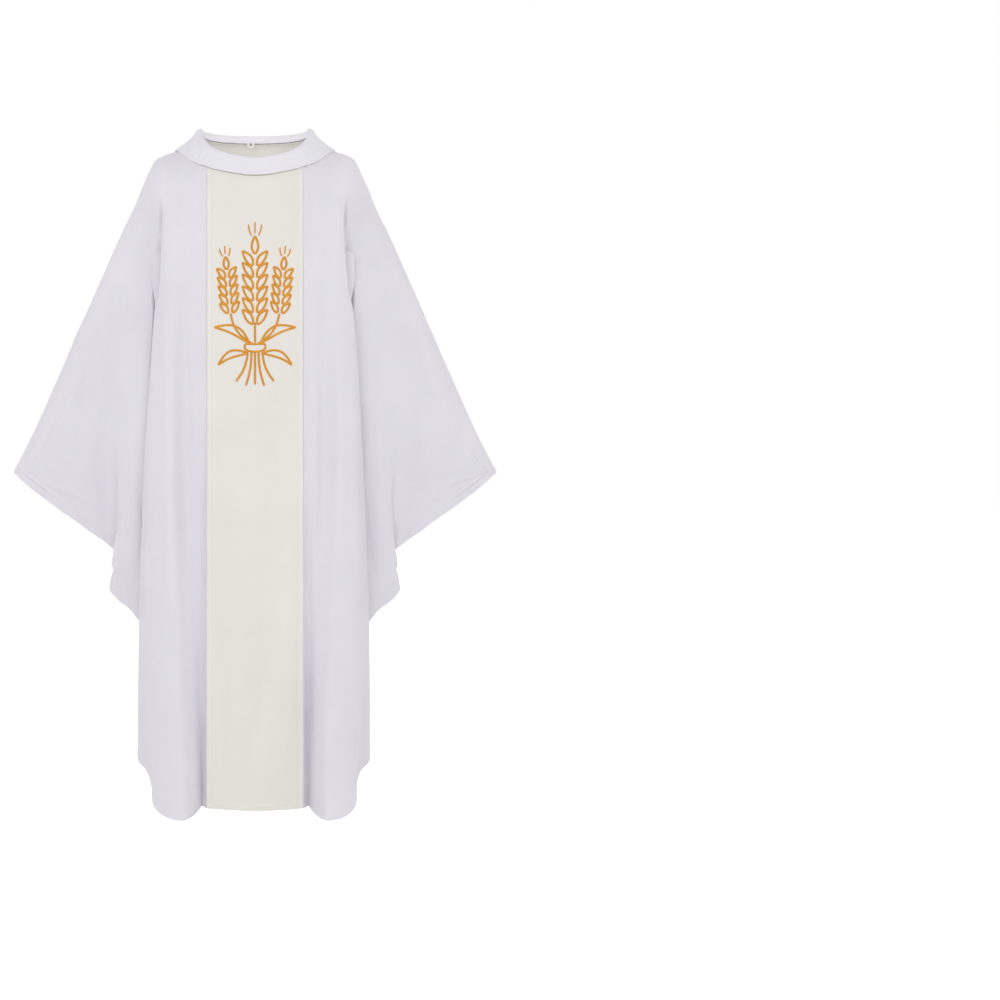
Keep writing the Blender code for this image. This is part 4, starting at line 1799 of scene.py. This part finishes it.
WHITE_CLOTH = ClothFinish("white_cloth", "white_cloth", (229, 227, 233), (222, 219, 227),
                          roughness=0.85, sheen=0.15, thread=0.75, relief=0.12)
# Painted light: the collar is the same white cloth as the panels, coloured lighter so that it shows brighter
# than they do.
COLLAR_CLOTH_PAINTED_LIGHT = ClothFinish("collar_cloth", "white_cloth", (234, 233, 238), (228, 226, 233),
                           roughness=0.8, sheen=0.15, thread=0.75, relief=0.12)
IVORY_CLOTH = ClothFinish("ivory_cloth", "ivory_cloth", (233, 229, 223), (227, 223, 216),
                          roughness=0.7, sheen=0.2, thread=0.62, relief=0.1, weave=Weave.TWILL)
EDGE_TAPE = ClothFinish("edge_tape", "edge_tape", (237, 234, 229), (231, 228, 223),
                        roughness=0.6, sheen=0.2, thread=0.9, relief=0.15)
GOLD_THREAD = ThreadFinish("gold_thread", "gold_thread", (240, 170, 38), (184, 106, 12),
                           pitch=0.5, relief=0.16)

# Creases, from the front view in millimetres. A side's x runs outwards from the middle.
FRONT_RIGHT = Drape((
    Crease((128, -330), (118, -880), 17, -5.6, bow=4),
    Crease((160, -280), (156, -860), 12, 4.0),
    Crease((330, -300), (338, -460), 13, 4.8, bow=5),
    Crease((268, -440), (282, -640), 20, -5.6),
    Crease((228, -540), (236, -800), 13, 4.0),
    Crease((345, -470), (300, -690), 16, 4.0, bow=-6),
    Crease((140, -30), (132, -240), 15, -2.9),
), seed=11, pleat=Pleat((175, 177, 184, 195, 206, 214)))
FRONT_LEFT = Drape((
    Crease((138, -300), (146, -900), 20, -5.6, bow=-5),
    Crease((182, -330), (190, -860), 10, 4.0),
    Crease((112, -420), (108, -1000), 9, 3.2),
    Crease((306, -280), (350, -480), 15, 4.5, bow=-4),
    Crease((300, -420), (286, -660), 22, -5.1),
    Crease((232, -520), (240, -790), 12, 4.0),
    Crease((392, -480), (372, -640), 14, -4.0),
    Crease((134, -40), (140, -230), 14, -2.6),
), seed=23, pleat=Pleat((170, 172, 178, 189, 201, 210)))
BACK_LEFT = Drape((
    Crease((124, -260), (118, -800), 16, -4.8, bow=4),
    Crease((166, -300), (160, -900), 13, 4.0),
    Crease((318, -320), (330, -500), 14, 4.5),
    Crease((276, -430), (288, -650), 20, -5.1),
    Crease((150, -40), (146, -260), 16, -2.9),
    Crease((366, -480), (340, -650), 15, 3.5, bow=4),
), seed=37, pleat=Pleat((174, 177, 184, 193, 203, 212), groove=-5.5))
BACK_RIGHT = Drape((
    Crease((134, -320), (126, -960), 19, -5.1, bow=-4),
    Crease((176, -340), (182, -840), 11, 3.8),
    Crease((300, -300), (322, -470), 15, 4.2, bow=4),
    Crease((262, -460), (270, -660), 18, -4.8),
    Crease((222, -540), (232, -800), 12, 3.5),
    Crease((402, -500), (380, -640), 14, -3.2),
), seed=41, pleat=Pleat((172, 174, 181, 192, 204, 213), groove=-5.5))
FRONT_BAND = Drape((
    Crease((40, -480), (36, -680), 17, -4.2),
    Crease((30, -660), (8, -1090), 24, -5.8, bow=5),
    Crease((-30, -560), (-34, -1060), 22, 3.8),
    Crease((62, -820), (58, -1180), 14, 3.2),
    Crease((-64, -860), (-60, -1200), 13, -2.9),
), seed=53, wave=0.45)
BACK_BAND = Drape((
    Crease((-34, -470), (-30, -760), 18, -4.2),
    Crease((-16, -700), (6, -1120), 24, -5.1, bow=-5),
    Crease((36, -600), (32, -1060), 20, 3.8),
    Crease((-60, -840), (-62, -1180), 14, 2.9),
), seed=59, wave=0.45)


def main() -> None:
    """Builds the robe and the room around it."""
    logging.basicConfig(level=logging.INFO, format="%(name)s: %(message)s")
    room = Workroom(RobeForm())
    sewing = Stitching(room, WHITE_CLOTH)
    ivory_sewing = Stitching(room, IVORY_CLOTH)
    tape_sewing = Stitching(room, EDGE_TAPE, length=2.0, width=0.5, pitch=2.8)
    SidePanels(
        room, WHITE_CLOTH, sewing,
        front_cut=Cut(0.50, 1.29, 0.389),
        back_cut=Cut(0.48, 1.29, 0.364),
        drapes={(Face.FRONT, Side.LEFT): FRONT_LEFT, (Face.FRONT, Side.RIGHT): FRONT_RIGHT,
                (Face.BACK, Side.LEFT): BACK_LEFT, (Face.BACK, Side.RIGHT): BACK_RIGHT},
    ).build()
    bands = CentreBands(
        room, IVORY_CLOTH, EDGE_TAPE, ivory_sewing, tape_sewing,
        cuts={Face.FRONT: Cut(0.19, 1.23, 0.218), Face.BACK: Cut(0.19, 1.31, 0.229)},
        drapes={Face.FRONT: FRONT_BAND, Face.BACK: BACK_BAND},
    ).build()
    loop = NeckLoop(room, EDGE_TAPE).build()
    RolledCollar(room, COLLAR_CLOTH_PAINTED_LIGHT, sewing, Cut(0.80, 0.105, 0.058, "folded"), [loop]).build()
    Embroidery(room, GOLD_THREAD, WheatMotif(), bands).build()
    Studio().build()


if __name__ == "__main__":
    main()
